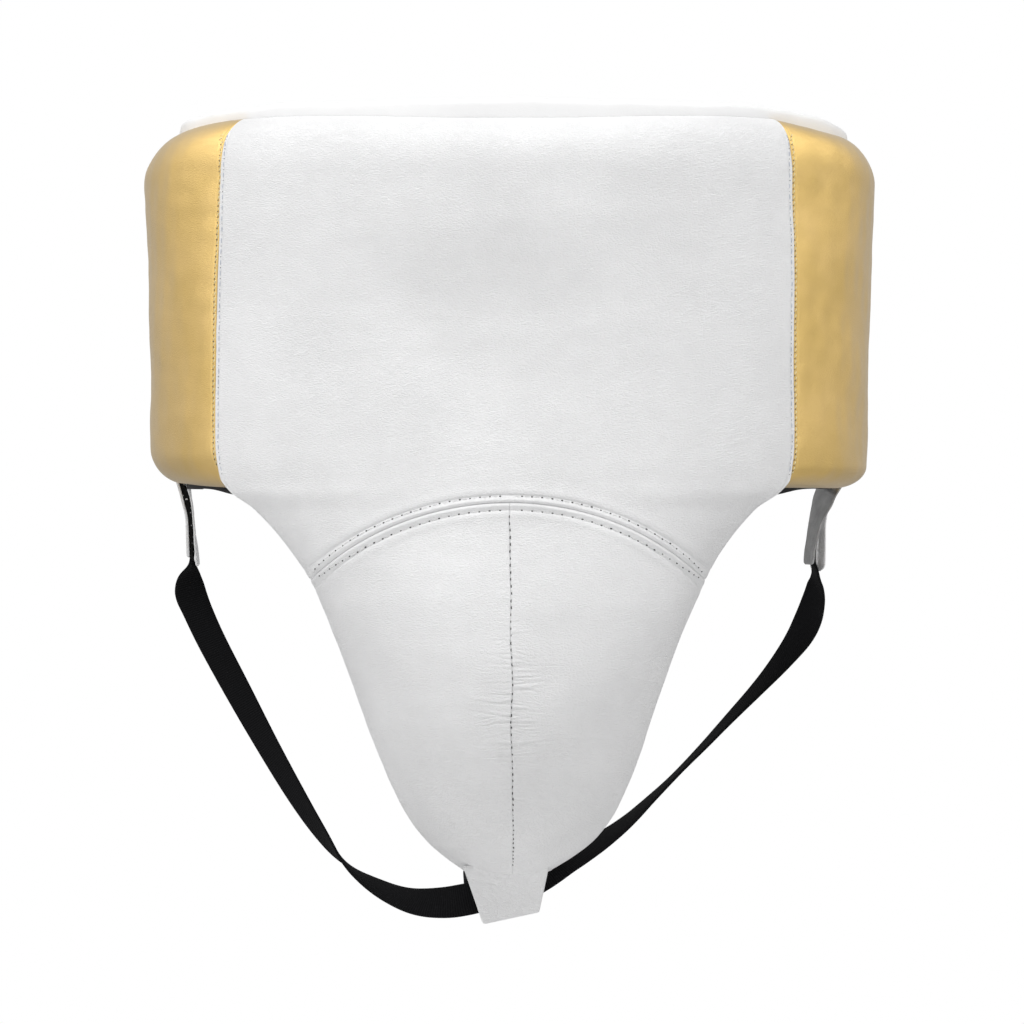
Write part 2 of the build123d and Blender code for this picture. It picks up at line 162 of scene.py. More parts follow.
def softNoise(x, y, z, size, seed):
    # sum of a dozen plane waves in random directions, about -1 to 1, with features of this size in mm
    waves = np.random.default_rng(seed)
    total = 0
    for _ in range(12):
        direction = waves.normal(size=3)
        direction *= waves.uniform(0.6, 1.6) / np.linalg.norm(direction)
        total = total + np.sin((x * direction[0] + y * direction[1] + z * direction[2])
                               * 2 * math.pi / size + waves.uniform(0, 6.3))
    return total / 3.5


def beltWidth(z):
    return belt["halfWidth"] - belt["taper"] * (belt["top"] - z)


def beltPoint(angle, depth, z):
    # point on the ellipse at an angle from the front (degrees), depth mm in from the outer skin
    turn = np.radians(angle)
    x = (beltWidth(z) - depth) * np.sin(turn)
    y = belt["centreY"] - (belt["halfDepth"] - depth) * np.cos(turn)
    return np.stack(np.broadcast_arrays(x, y, z), -1)


def beltAngle(x, y):
    # degrees from the front at which a point of the belt lies
    return np.degrees(np.arctan2(np.abs(x) / belt["halfWidth"], (belt["centreY"] - y) / belt["halfDepth"]))


def ellipseHeading(a, b, t):
    # unit directions along an ellipse of half width a and half depth b, t radians from the front
    return unit(np.stack([a * np.cos(t), b * np.sin(t), 0 * t], -1))


def sliceTable():
    # the belt's own slices in the cup's terms, then the cup's, with heights rising
    seam = math.radians(belt["seamAngle"])
    edgeY = belt["centreY"] - belt["halfDepth"] * math.cos(seam)
    rows = [(z, beltWidth(z) * math.sin(seam), belt["seamAngle"], belt["centreY"] - belt["halfDepth"] - flare,
             edgeY, belt["padding"], belt["padding"]) for z, flare in belt["flare"].items()]
    return np.array(rows + list(cup["slices"]))[::-1]


slices = sliceTable()


def frontEllipse(z):
    # half width, half depth, centre y and wrap angle of the slice at a height, side and front padding
    width, wrap, frontY, edgeY, side, front = readTable(slices, np.maximum(z, cup["bottom"]))
    b = (edgeY - frontY) / (1 - np.cos(np.radians(wrap)))
    return width / np.sin(np.radians(wrap)), b, frontY + b, wrap, side, front


def frontPoint(share, z, layer=0.0, inset=0.0):
    # point at a share (-1 to 1) of the way round the slice; layer 0 is the outer skin and 1 the
    # back of the padding; inset moves it in by so many mm more
    a, b, centreY, wrap, side, front = frontEllipse(z)
    t = share * np.radians(wrap)
    x = (a - layer * side - inset) * np.sin(t)
    y = centreY - (b - layer * front - inset) * np.cos(t)
    return np.stack(np.broadcast_arrays(x, y, z), -1)


def settle(points, sinking=1.0):
    # moves a form sideways by the lean of its height, shared out between the middle and the edges;
    # the sides of the belt also sink towards the hips, by a share of their full drop
    x, y, z = points[..., 0], points[..., 1], points[..., 2]
    left, middle, right, leftHip, rightHip = readTable(lean, z)
    width = smoothThrough(slices[:, 0], slices[:, 1], np.maximum(z, cup["bottom"]))
    share = np.abs(x) / np.maximum(width, 1)
    seamShift, hipShift = np.where(x < 0, left, right), np.where(x < 0, leftHip, rightHip)
    across = middle + (seamShift - middle) * np.minimum(share, 1) ** 1.6
    shift = across + (hipShift - across) * smoothStep(1.0, 1.2, share) * (z > -88)
    wander = 0.3 * softNoise(0, 0, z, 26, 3) * bell(x, 7) * smoothStep(-92, -105, z)
    sink = (sinking * belt["sideDrop"] * smoothStep(*belt["dropAngles"], beltAngle(x, y))
            * smoothStep(*belt["dropHeights"], z))
    return np.stack([x + shift * (1 - smoothStep(-25, 30, y)) + wander, y, z - sink], -1)


def seamHeight(share):
    # height at which the slice at this share crosses the arc seam, by repeated substitution
    z = np.full(np.shape(share), -105.0)
    for _ in range(80):
        x = frontPoint(share, z)[..., 0]
        z = 0.5 * z + 0.5 * (arcCentre + np.sqrt(np.maximum(arcRadius ** 2 - x ** 2, 0)))
    return z


def makeMesh(name, points, faces, uv=None):
    mesh = bpy.data.meshes.new(name)
    mesh.from_pydata((points * mm).tolist(), [], faces.tolist())
    if uv is not None:
        layer = mesh.uv_layers.new(name="UVMap")
        loops = np.zeros(len(mesh.loops), np.int32)
        mesh.loops.foreach_get("vertex_index", loops)
        layer.data.foreach_set("uv", uv[loops].astype(np.float32).ravel())
    obj = bpy.data.objects.new(name, mesh)
    scene.collection.objects.link(obj)
    return obj


def closeUp(obj, weld=0.02, holeSides=0):
    # merges the points that coincide where a form pinches shut, or fills holes of so many sides
    # instead, and turns the faces outwards
    work = bmesh.new()
    work.from_mesh(obj.data)
    if holeSides:
        bmesh.ops.holes_fill(work, edges=[e for e in work.edges if e.is_boundary], sides=holeSides)
    else:
        bmesh.ops.remove_doubles(work, verts=work.verts, dist=weld * mm)
        bmesh.ops.dissolve_degenerate(work, edges=work.edges, dist=0.001 * mm)
    bmesh.ops.recalc_face_normals(work, faces=work.faces)
    work.to_mesh(obj.data)
    work.free()
    obj.data.polygons.foreach_set("use_smooth", np.ones(len(obj.data.polygons), bool))
    return obj


def ringForm(name, rings, uv=None, weld=0.02):
    # closed rings of points, one per row, joined by quads; the end rings are filled by a strip
    # that joins their first half to their second half
    rows, around = rings.shape[:2]
    index = np.arange(rows * around).reshape(rows, around)
    after = np.roll(index, -1, 1)
    faces = np.stack([index[:-1], after[:-1], after[1:], index[1:]], -1).reshape(-1, 4)
    k = np.arange(around // 2 - 1)
    strips = [np.stack([end[k], end[k + 1], end[around - 2 - k], end[around - 1 - k]], -1)
              for end in (index[0], index[-1])]
    if uv is None:
        uv = np.stack(np.meshgrid(runLength(rings, 1), runLength(rings, 0)), -1).reshape(-1, 2)
    return closeUp(makeMesh(name, rings.reshape(-1, 3), np.concatenate([faces, *strips]), uv), weld)


def shoulder(distance, radius):
    # how far a rounded edge has dropped at a distance from it
    left = np.clip(1 - distance / radius, 0, 1)
    return radius * (1 - np.sqrt(np.maximum(1 - left ** 2, 0)))


def layeredRings(outer, inner, capSteps, capReach, heading):
    # closed rings: the outer surface, a rounded end, the inner surface backwards, and the other end.
    # outer and inner have the same columns, so a ring's two halves match; heading points out of
    # each end, and capReach says how far the end bulges
    turn = np.linspace(0, math.pi, capSteps + 2)[1:-1]

    def end(a, b, out, reach):
        middle, half = (a + b) / 2, (a - b) / 2
        return (middle[:, None] + half[:, None] * np.cos(turn)[None, :, None]
                + (out * reach[:, None])[:, None] * np.sin(turn)[None, :, None])

    last = end(outer[:, -1], inner[:, -1], heading[1], capReach[1])
    first = end(inner[:, 0], outer[:, 0], heading[0], capReach[0])
    k = capSteps // 2  # the first end is split so that the ring starts at its middle
    return np.concatenate([first[:, k:], outer, last, inner[:, ::-1], first[:, :k]], 1)


print("form functions ready")


# Materials. Groups hold what more than one finish uses; shaders stay in the material itself.

def feed(tree, made, inputs):
    # gives each input a value, or links it to an output; a node stands for its first output
    for key, value in inputs.items():
        if isinstance(value, bpy.types.Node):
            value = value.outputs[0]
        if isinstance(value, bpy.types.NodeSocket):
            tree.links.new(value, made.inputs[key])
        else:
            made.inputs[key].default_value = value


def node(tree, kind, inputs=None, **settings):
    made = tree.nodes.new("ShaderNode" + kind)
    for key, value in settings.items():
        setattr(made, key, value)
    feed(tree, made, inputs or {})
    return made


def newGroup(name, sizes, outputs):
    # a group that takes a place and some sizes, and gives out numbers
    group = bpy.data.node_groups.new(name, "ShaderNodeTree")
    group.interface.new_socket("Vector", in_out="INPUT", socket_type="NodeSocketVector")
    for label, size in sizes.items():
        group.interface.new_socket(label, in_out="INPUT", socket_type="NodeSocketFloat").default_value = size
    for label in outputs:
        group.interface.new_socket(label, in_out="OUTPUT", socket_type="NodeSocketFloat")
    return group, group.nodes.new("NodeGroupInput").outputs, group.nodes.new("NodeGroupOutput")


def leatherGrainGroup():
    # pebbles from the edges of lying cells and a fine noise; soft blotches for colour and gloss
    group, given, out = newGroup("leatherGrain", {"Cell": 900.0, "Blotch": 18.0}, ("Height", "Blotches"))
    place = given["Vector"]
    flat = node(group, "VectorMath", {0: place, 1: (0.5, 0.5, 1.3)}, operation="MULTIPLY")
    warp = node(group, "TexNoise", {"Vector": place, "Scale": 240.0, "Detail": 2.0})
    bent = node(group, "VectorMath", {0: warp.outputs["Color"], 1: (0.0016,) * 3}, operation="MULTIPLY")
    moved = node(group, "VectorMath", {0: flat, 1: bent}, operation="ADD")
    cells = node(group, "TexVoronoi", {"Vector": moved, "Scale": given["Cell"]}, feature="DISTANCE_TO_EDGE")
    rise = node(group, "MapRange", {"Value": cells.outputs["Distance"], "From Max": 0.22})
    fine = node(group, "TexNoise", {"Vector": place, "Scale": 2600.0, "Detail": 2.0})
    pebbles = node(group, "Math", {0: fine.outputs["Fac"], 1: 0.35, 2: rise}, operation="MULTIPLY_ADD")
    blotch = node(group, "TexNoise", {"Vector": place, "Scale": given["Blotch"], "Detail": 4.0,
                                      "Roughness": 0.55})
    feed(group, out, {"Height": pebbles, "Blotches": blotch.outputs["Fac"]})
    return group


def ribGroup():
    # ribs along one direction and finer threads across them, from the piece's own UV map in mm
    group, given, out = newGroup("webbingRibs", {"Rib": 1.0, "Thread": 0.5}, ("Height",))
    parts = node(group, "SeparateXYZ", {0: given["Vector"]})

    def wave(axis, pitch):
        share = node(group, "Math", {0: parts.outputs[axis], 1: given[pitch]}, operation="DIVIDE")
        turn = node(group, "Math", {0: share, 1: 2 * math.pi}, operation="MULTIPLY")
        return node(group, "Math", {0: turn}, operation="SINE")

    ribs, threads = wave("Y", "Rib"), wave("X", "Thread")
    both = node(group, "Math", {0: threads, 1: 0.45, 2: ribs}, operation="MULTIPLY_ADD")
    level = node(group, "MapRange", {"Value": both, "From Min": -1.45, "From Max": 1.45})
    feed(group, out, {"Height": level})
    return group


leatherGrain, webbingRibs = leatherGrainGroup(), ribGroup()


def newMaterial(name, settings):
    material = bpy.data.materials.new(name)
    material.use_nodes = True
    shader = material.node_tree.nodes["Principled BSDF"]
    feed(material.node_tree, shader, settings)
    return material, material.node_tree, shader


def colourBetween(tree, factor, low, high, start=0.3, end=0.7):
    ramp = node(tree, "ValToRGB", {"Fac": factor})
    for stop, position, colour in zip(ramp.color_ramp.elements, (start, end), (low, high)):
        stop.position, stop.color = position, (*np.broadcast_to(colour, 3), 1)  # a single number is a grey
    return ramp


def valueBetween(tree, factor, low, high, start=0.3, end=0.7):
    return node(tree, "MapRange", {"Value": factor, "From Min": start, "From Max": end,
                                   "To Min": low, "To Max": high})


def bumpFrom(tree, shader, height, strength, depth, **settings):
    bump = node(tree, "Bump", {"Height": height, "Strength": strength, "Distance": depth * mm}, **settings)
    feed(tree, shader, {"Normal": bump})


def leather(name, values):
    material, tree, shader = newMaterial(name, values["shader"])
    place = node(tree, "TexCoord")
    grain = node(tree, "Group", {"Vector": place.outputs["Object"], "Cell": values["cell"],
                                 "Blotch": values["blotch"]}, node_tree=leatherGrain)
    colour = colourBetween(tree, grain.outputs["Blotches"], values["dark"], values["light"])
    if "edge" in values:  # a paler colour painted where the surface turns away from view: a painted sheen
        facing = node(tree, "LayerWeight", {"Blend": 0.5})
        share = node(tree, "MapRange", {"Value": facing.outputs["Facing"],
                                        "From Min": 0.45, "From Max": 0.95})
        grazingSheenTint = node(tree, "Mix", data_type="RGBA")
        feed(tree, grazingSheenTint, {0: share, 6: colour, 7: (*values["edge"], 1)})
        colour = grazingSheenTint.outputs[2]
    gloss = valueBetween(tree, grain.outputs["Blotches"], *values["roughness"])
    feed(tree, shader, {"Base Color": colour, "Roughness": gloss})
    bumpFrom(tree, shader, grain.outputs["Height"], values["bump"], values["depth"])
    return material


def webbing(name, values):
    material, tree, shader = newMaterial(name, values["shader"])
    place = node(tree, "UVMap", uv_map="UVMap")
    ribs = node(tree, "Group", {"Vector": place, "Rib": values["rib"], "Thread": values["thread"]},
                node_tree=webbingRibs)
    # the colour follows the rib height, darker in the grooves between ribs: painted shade
    feed(tree, shader, {"Base Color": colourBetween(tree, ribs, values["dark"], values["light"], 0.1, 0.9)})
    bumpFrom(tree, shader, ribs, values["bump"], values["depth"])
    return material


def threadFinish(name, colour):
    # twisted cotton: a fine band pattern across the thread, as bump and as colour that is darker in its
    # grooves, a painted shade
    material, tree, shader = newMaterial(name, {"Roughness": 0.75, "Sheen Weight": 0.2})
    place = node(tree, "TexCoord")
    twist = node(tree, "TexWave", {"Vector": place.outputs["Object"], "Scale": 900.0, "Distortion": 1.5},
                 bands_direction="DIAGONAL").outputs["Fac"]
    dark = tuple(0.75 * c for c in colour)
    feed(tree, shader, {"Base Color": colourBetween(tree, twist, dark, colour, 0.1, 0.9)})
    bumpFrom(tree, shader, twist, 0.4, 0.1)
    return material


def pile(name, dark, light, size, depth, specks=None):
    # short hooks, loops or frayed ends: cells as bump and as colour, lighter on the tufts and darker between
    # them as painted shade, and a few pale thread ends
    material, tree, shader = newMaterial(name, {"Roughness": 0.9, "Specular IOR Level": 0.15})
    place = node(tree, "TexCoord").outputs["Object"]
    tufts = node(tree, "TexVoronoi", {"Vector": place, "Scale": size}).outputs["Distance"]
    colour = colourBetween(tree, tufts, light, dark, 0.0, 0.7)
    if specks:
        threads = node(tree, "TexNoise", {"Vector": place, "Scale": 620.0, "Detail": 1.0})
        mask = valueBetween(tree, threads.outputs["Fac"], 0.0, 1.0, 0.66, 0.70)
        mix = node(tree, "Mix", data_type="RGBA")
        feed(tree, mix, {"Factor": mask, 6: colour, 7: (specks, specks, specks, 1)})
        colour = mix.outputs[2]
    feed(tree, shader, {"Base Color": colour})
    bumpFrom(tree, shader, tufts, 0.8, depth, invert=True)
    return material


leathers = dict(
    whiteLeather=dict(
        dark=(0.79, 0.79, 0.795), light=(0.86, 0.86, 0.865), cell=950.0, blotch=22.0,
        roughness=(0.38, 0.46), bump=0.85, depth=0.14,
        shader={"Specular IOR Level": 0.5, "Coat Weight": 0.06, "Coat Roughness": 0.3}),
    goldLeather=dict(
        # its edge colour is a painted sheen, a paler grey-gold towards the silhouettes
        dark=(0.635, 0.445, 0.155), light=(0.705, 0.505, 0.205), edge=(0.54, 0.44, 0.30), cell=1300.0,
        blotch=30.0, roughness=(0.46, 0.54), bump=0.5, depth=0.10,
        shader={"Metallic": 0.9, "Specular IOR Level": 0.5}),
    rimLeather=dict(
        dark=0.88, light=0.92, cell=900.0, blotch=25.0,
        roughness=(0.45, 0.55), bump=0.2, depth=0.1, shader={}),
    # the next grey paints the shade on the inner face of the right hip tab
    tabShadeGrey=dict(
        dark=0.30, light=0.44, cell=700.0, blotch=160.0,
        roughness=(0.70, 0.80), bump=0.5, depth=0.15, shader={"Specular IOR Level": 0.25}),
    shellPlastic=dict(
        dark=(0.030, 0.031, 0.033), light=(0.045, 0.046, 0.048), cell=1600.0, blotch=60.0,
        roughness=(0.36, 0.44), bump=0.15, depth=0.05, shader={}))
webbings = dict(
    blackNylon=dict(dark=(0.008, 0.008, 0.009), light=(0.028, 0.028, 0.031), rib=0.8, thread=0.8, bump=0.35,
                    depth=0.12, shader={"Roughness": 0.7, "Specular IOR Level": 0.25}),
    elastic=dict(dark=(0.003, 0.003, 0.0035), light=(0.010, 0.010, 0.011), rib=1.1, thread=0.7, bump=0.5,
                 depth=0.22, shader={"Roughness": 0.9, "Specular IOR Level": 0.08}))
# the grey thread's colour paints the shadow of the thread on the white leather
threads = dict(threadShadowGrey=(0.56, 0.60, 0.67), whiteThread=(0.86, 0.86, 0.86), goldThread=(0.93, 0.86, 0.55),
               # the last colour is painted shade: dark marks that stand for the shade inside the needle holes
               paintedHoleShade=(0.05, 0.05, 0.05))
piles = dict(loopPile=((0.006, 0.006, 0.007), (0.035, 0.035, 0.037), 1400.0, 0.5),
             frayedElastic=(0.005, 0.012, 700.0, 0.4, 0.55),
             hookPile=((0.006, 0.006, 0.006), (0.06, 0.06, 0.062), 900.0, 0.7))
finishes = {name: leather(name, values) for name, values in leathers.items()}
finishes.update({name: webbing(name, values) for name, values in webbings.items()})
finishes.update({name: threadFinish(name, colour) for name, colour in threads.items()})
finishes.update({name: pile(name, *values) for name, values in piles.items()})
for slot in frame["nodes"]["cup_shell"].material_slots:
    slot.material = finishes["shellPlastic"]
print("materials ready")


def addPiece(obj, finish, body, replaced=(), blendTo=None):
    obj.data.materials.clear()
    obj.data.materials.append(finishes[finish])
    if blendTo:
        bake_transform(obj)
    else:
        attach(obj, body)
    if replaced:
        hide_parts(*replaced)


def settledForm(name, rings, side="right", sinking=1.0):
    # a form of the middle or the right side, mirrored for the left, leant and made a mesh
    return ringForm(name, settle(rings * [hands[side], 1, 1], sinking))


def findWingBends():
    # a line along the belt for each wing, from 1 to 42 mm behind the hinge
    angle = belt["hingeAngle"]
    skin = beltPoint(angle, 0.0, belt["top"])
    along = ellipseHeading(beltWidth(belt["top"]), belt["halfDepth"], math.radians(angle))
    bends = {}
    for side, hand in hands.items():
        start = np.array([hand * skin[0], skin[1], 0]) * mm
        heading = np.array([hand * along[0], along[1], 0])
        bends[side] = (side + "_wing", tuple(start + heading * 0.001), tuple(start + heading * 0.042))
    return bends


wingBend = findWingBends()


# Camera: straight in front, with a lens that shows a width at a distance

view = dict(place=(0.00045, -2.127, -0.0952), sensor=36.0, width=460.8, distance=2000, clipEnd=50)


def makeCamera():
    data = bpy.data.cameras.new("camera")
    camera = bpy.data.objects.new("camera", data)
    scene.collection.objects.link(camera)
    data.sensor_width, data.lens = view["sensor"], view["sensor"] * view["distance"] / view["width"]
    data.clip_end = view["clipEnd"]
    camera.location = view["place"]
    camera.rotation_euler = (math.pi / 2, 0, 0)
    scene.camera = camera


makeCamera()
scene.view_settings.view_transform = "Standard"
print("camera ready")


# Leg straps: a flat elastic along a smooth line, its width turned as it goes

straps = dict(
    width=15.0, thickness=1.5, mouth=-117.35, depth=-5, smoothness=14,
    # stops of x, y, z and turn, within the tab and then outside it
    left=dict(
        x=-152.1, yaw=0.0, spin=1, inTab=[(-153.0, -5, -96, 0), (-152.3, -5, -108, 0)],
        route=[(-154.4, -3, -126, 40), (-153.6, 0, -134, 80), (-151, 3, -141, 105),
               (-144.5, 6, -156, 112), (-134, 8, -176, 118), (-117, 5, -207, 131),
               (-100.5, -5, -234, 142), (-87.5, -15, -252, 156), (-78, -22, -262.5, 178),
               (-64, -33, -271, 202), (-53, -42, -275.5, 216), (-42, -50, -277.7, 234),
               (-30, -56, -277.3, 250), (-20.5, -58.7, -275.5, 268), (-12, -59.1, -273.5, 278),
               (-3, -59.4, -271.5, 278)]),
    right=dict(
        x=143.6, yaw=3.0, spin=-1, inTab=[(146.1, -5, -103.5, 0), (144.7, -5, -109.5, 0)],
        route=[(145.6, -5, -124, 5), (146.2, -2, -134, 36), (142.6, 14, -149.5, 57), (133.9, 29, -164, 38),
               (121.3, 38, -180, 22), (106.2, 38, -196, 13), (93.5, 30, -209, 7), (80, 18, -221.5, 3),
               (67, 4, -232.6, 8), (55, -12, -242.4, 17), (43, -28, -250, 27), (31, -43, -256, 39),
               (24, -50, -259.2, 50), (18, -55, -262.2, 68), (12.5, -58.6, -265.2, 88),
               (8, -59.6, -267.9, 95), (3, -59.6, -270, 98)]))


def strapLine(stops):
    # points along a quadratic NURBS through which the strap's middle runs
    curve = bpy.data.curves.new("strapLine", "CURVE")
    curve.dimensions = "3D"
    curve.resolution_u = straps["smoothness"]
    spline = curve.splines.new("NURBS")
    spline.points.add(len(stops) - 1)
    for point, stop in zip(spline.points, stops):
        point.co = (stop[0] * mm, stop[1] * mm, stop[2] * mm, 1)
    spline.order_u = 3
    spline.use_endpoint_u = True
    holder = bpy.data.objects.new("strapLine", curve)
    scene.collection.objects.link(holder)
    mesh = bpy.data.meshes.new_from_object(holder)
    line = np.zeros(len(mesh.vertices) * 3)
    mesh.vertices.foreach_get("co", line)
    bpy.data.objects.remove(holder)
    return line.reshape(-1, 3) / mm


def makeStrap(side):
    # rounded flat section (superellipse) carried along the line; its width starts along Y and turns
    v = straps[side]
    mouth, y = straps["mouth"], straps["depth"]
    stops = v["inTab"] + [(v["x"], y, mouth - 0.5, 0)] + v["route"]
    line = strapLine(stops)
    spans = len(stops) - 2
    knots = np.concatenate([[0, 0, 0], np.arange(1, spans), [spans] * 3]) / spans
    pull = (knots[1:-2] + knots[2:-1]) / 2  # where along the line each stop pulls most
    share = np.linspace(0, 1, len(line))
    turn = smoothThrough(pull, np.array([stop[3] for stop in stops], float), share) * v["spin"]
    yaw = -v["yaw"] * (1 - smoothStep(pull[2], pull[4], share))
    angle = np.radians(turn + yaw)
    heading = unit(np.gradient(line, axis=0))
    level = unit(np.array([0, 1.0, 0]) - heading * heading[:, 1:2])
    across = level * np.cos(angle)[:, None] + np.cross(heading, level) * np.sin(angle)[:, None]
    face = np.cross(heading, across)
    flat, thick = superellipse(np.radians(np.arange(0, 360, 12) + 6), 0.35, 0.5)
    flat, thick = flat * straps["width"] / 2, thick * straps["thickness"] / 2
    rings = line[:, None] + across[:, None] * flat[None, :, None] + face[:, None] * thick[None, :, None]
    length = runLength(line)
    uv = np.stack(np.broadcast_arrays(flat[None, :], length[:, None]), -1).reshape(-1, 2)
    obj = ringForm("legStrap." + side, rings, uv, weld=0.001)
    mouthPoint = (v["x"] * mm, y * mm, mouth * mm)
    addPiece(obj, "elastic", "front", ["leg_strap_" + side],
             blendTo=(side + "_wing", tuple(line[-1] * mm), mouthPoint))
    return length[-1]


for side in hands:
    print("leg strap", side, round(makeStrap(side), 1), "mm long")


# Front cover: the belt's front and the yoke, a padded panel with a fat roll along its top

frontCover = dict(columns=231, spread=0.86, rows=115, seamRows=28, seamFrom=0.955, rollRows=16,
                  rollHeight=24.0, seamRadius=0.8, wall=4, capSteps=10, hollow=5.0, crest=(-1.3, 2.6),
                  sideRidges=((-0.16, 1.0, 0.5), (0.24, 2.2, 0.45), (-0.12, 4.0, 1.3)))


def frontRelief(x, z, seed):
    # one wide hollow, and slow swells of two sizes of noise, in mm inwards
    hollow = frontCover["hollow"] * smoothStep(44, -6, z) * (1 - smoothStep(-20, -88, z)) * bell(x - 8, 82)
    return hollow - 0.30 * softNoise(x, 0, z, 62, seed) - 0.07 * softNoise(x, 0, z, 17, seed + 1)


def arcSeam(distance, share):
    # beside the arc seam the turned-in edge stands up, the stitches pull a groove, and the padding
    # swells again behind them; it all fades where the panel curls round to the back
    return (0.25 + 0.75 * smoothStep(0, 0.12, 1 - np.abs(share))) * ridges(distance, cup["arcRidges"])


def squareTo(distance, share):
    # a height above or below the arc seam, turned into a distance square to the seam
    return distance * np.sqrt(1 - (frontPoint(share, seamHeight(share))[..., 0] / arcRadius) ** 2)


def frontRings(shares, z, layer, inset, ends=(1, 1)):
    # rings of a layer whose outside is at this layer share and inset, and whose back is at layer 1;
    # their ends are flat where they meet a wing, and round along the leg
    outer, inner = frontPoint(shares, z, layer, inset), frontPoint(shares, z, 1.0)
    a, b, centreY, wrap, side, front = frontEllipse(z)
    thickness = np.linalg.norm(outer - inner, axis=2)
    headings, reach = [], []
    for k, c in enumerate((0, -1)):
        headings.append((2 * k - 1) * ellipseHeading(a[:, c], b[:, c], np.radians(wrap[:, c]) * shares[c]))
        bulge = 0.3 + (side[:, c] / 2 - 0.3) * (1 - smoothStep(belt["legStart"], belt["legTop"], z[:, c]))
        reach.append(np.minimum(bulge, thickness[:, c] * 0.5) * ends[k])
    return layeredRings(outer, inner, frontCover["capSteps"], reach, headings)


def makeFrontCover():
    # rows go over the roll, down to the arc seam and in along its wall; columns go from side to side
    v = frontCover
    shares = np.sin(np.linspace(-1, 1, v["columns"]) * math.pi / 2 * v["spread"])
    shares = shares / math.sin(math.pi / 2 * v["spread"])
    psi = np.linspace(0, math.pi / 2, v["rollRows"])
    rollZ = belt["top"] - v["rollHeight"] * (1 - np.cos(psi))
    down = np.concatenate([np.linspace(0, v["seamFrom"], v["rows"] + 1)[1:],
                           np.linspace(v["seamFrom"], 1, v["seamRows"] + 1)[1:]])
    end = seamHeight(shares)
    body = rollZ[-1] + (end - rollZ[-1]) * down[:, None]
    z = np.concatenate([np.repeat(rollZ[:, None], len(shares), 1), body, np.tile(end, (v["wall"], 1))])
    layer = np.concatenate([1 - np.sin(psi), 0 * down, np.linspace(0, 1, v["wall"] + 1)[1:]])[:, None]
    x = frontPoint(shares, z)[..., 0]
    reach = squareTo(z - end, shares)
    sideGap = (1 - np.abs(shares)) * np.radians(frontEllipse(z)[3]) * belt["seamRadius"]
    inset = (frontRelief(x, z, 5) * (1 - layer) * smoothStep(0, 12, reach)
             + shoulder(reach, cup["arcEdge"]) * (1 - layer) + arcSeam(reach, shares) * (1 - layer)
             + smoothStep(belt["legStart"], belt["bottom"], z) * (1 - layer)
             * ridges(sideGap, v["sideRidges"], shoulder(sideGap, v["seamRadius"])))
    inset = inset - 0.25 * np.sin(x / 9) * bell(z - 83, 3) * (1 - layer)
    rings = frontRings(shares, z, layer, inset)
    middleCrest, sideCrest = v["crest"]
    crest = middleCrest + sideCrest * smoothStep(15, 110, np.abs(rings[..., 0]))
    rings[..., 2] += crest * smoothStep(66, 85, rings[..., 2])
    addPiece(settledForm("frontCover", rings), "whiteLeather", "front",
             ["front_cover", "front_pad"])


makeFrontCover()
print("front cover made")


# Cup covers: two halves that meet on the middle seam, over the foam and the shell

cupCover = dict(columns=84, crowding=1.5, rows=400, seamRows=26, seamShare=0.05, wall=5, tipRows=8,
                tipDrop=0.9, tipLayer=0.35, seamRadius=0.3, gap=0.015, creases=44, ripple=1.55,
                rippleHeight=0.105, drawnAt=-186)


def cupRelief(x, z, hand):
    # the middle seam draws the leather into fine ripples across it, in loose patches that fade with the
    # distance, and into single creases, each a valley in z; between them it swells slowly
    v = cupCover
    draw = np.random.default_rng(60 + hand)
    total = -0.30 * softNoise(x, 0, z, 55, 40 + hand) - 0.06 * softNoise(x, 0, z, 15, 50 + hand)
    away = np.abs(x)
    drift = 0.9 * softNoise(x, 0, z, 13, 20 + hand)
    patch = np.clip(0.55 + 0.6 * softNoise(x, 0, z * 1.6, 16, 30 + hand), 0, 1)
    total = total + v["rippleHeight"] * smoothStep(-135, -165, z) * patch * bell(away, 14) * np.sin(
        2 * math.pi * (z + drift + 0.05 * away) / v["ripple"])
    for _ in range(v["creases"]):
        at = draw.choice([draw.normal(v["drawnAt"], 26), draw.uniform(-250, -105)], p=[0.8, 0.2])
        strength = 0.35 + 0.65 * math.exp(-((at - v["drawnAt"]) / 44) ** 2)
        deep, wide = draw.uniform(0.10, 0.28) * strength, draw.uniform(0.35, 0.55)
        far, slope, bend = draw.uniform(5, 18) * strength, draw.normal(0, 0.10), draw.normal(0, 0.004)
        line = z - at - slope * away - bend * away ** 2
        total = total + (deep * bell(line, wide) - 0.5 * deep * bell(line - 1.0, 0.6)) * bell(away, far)
    return total


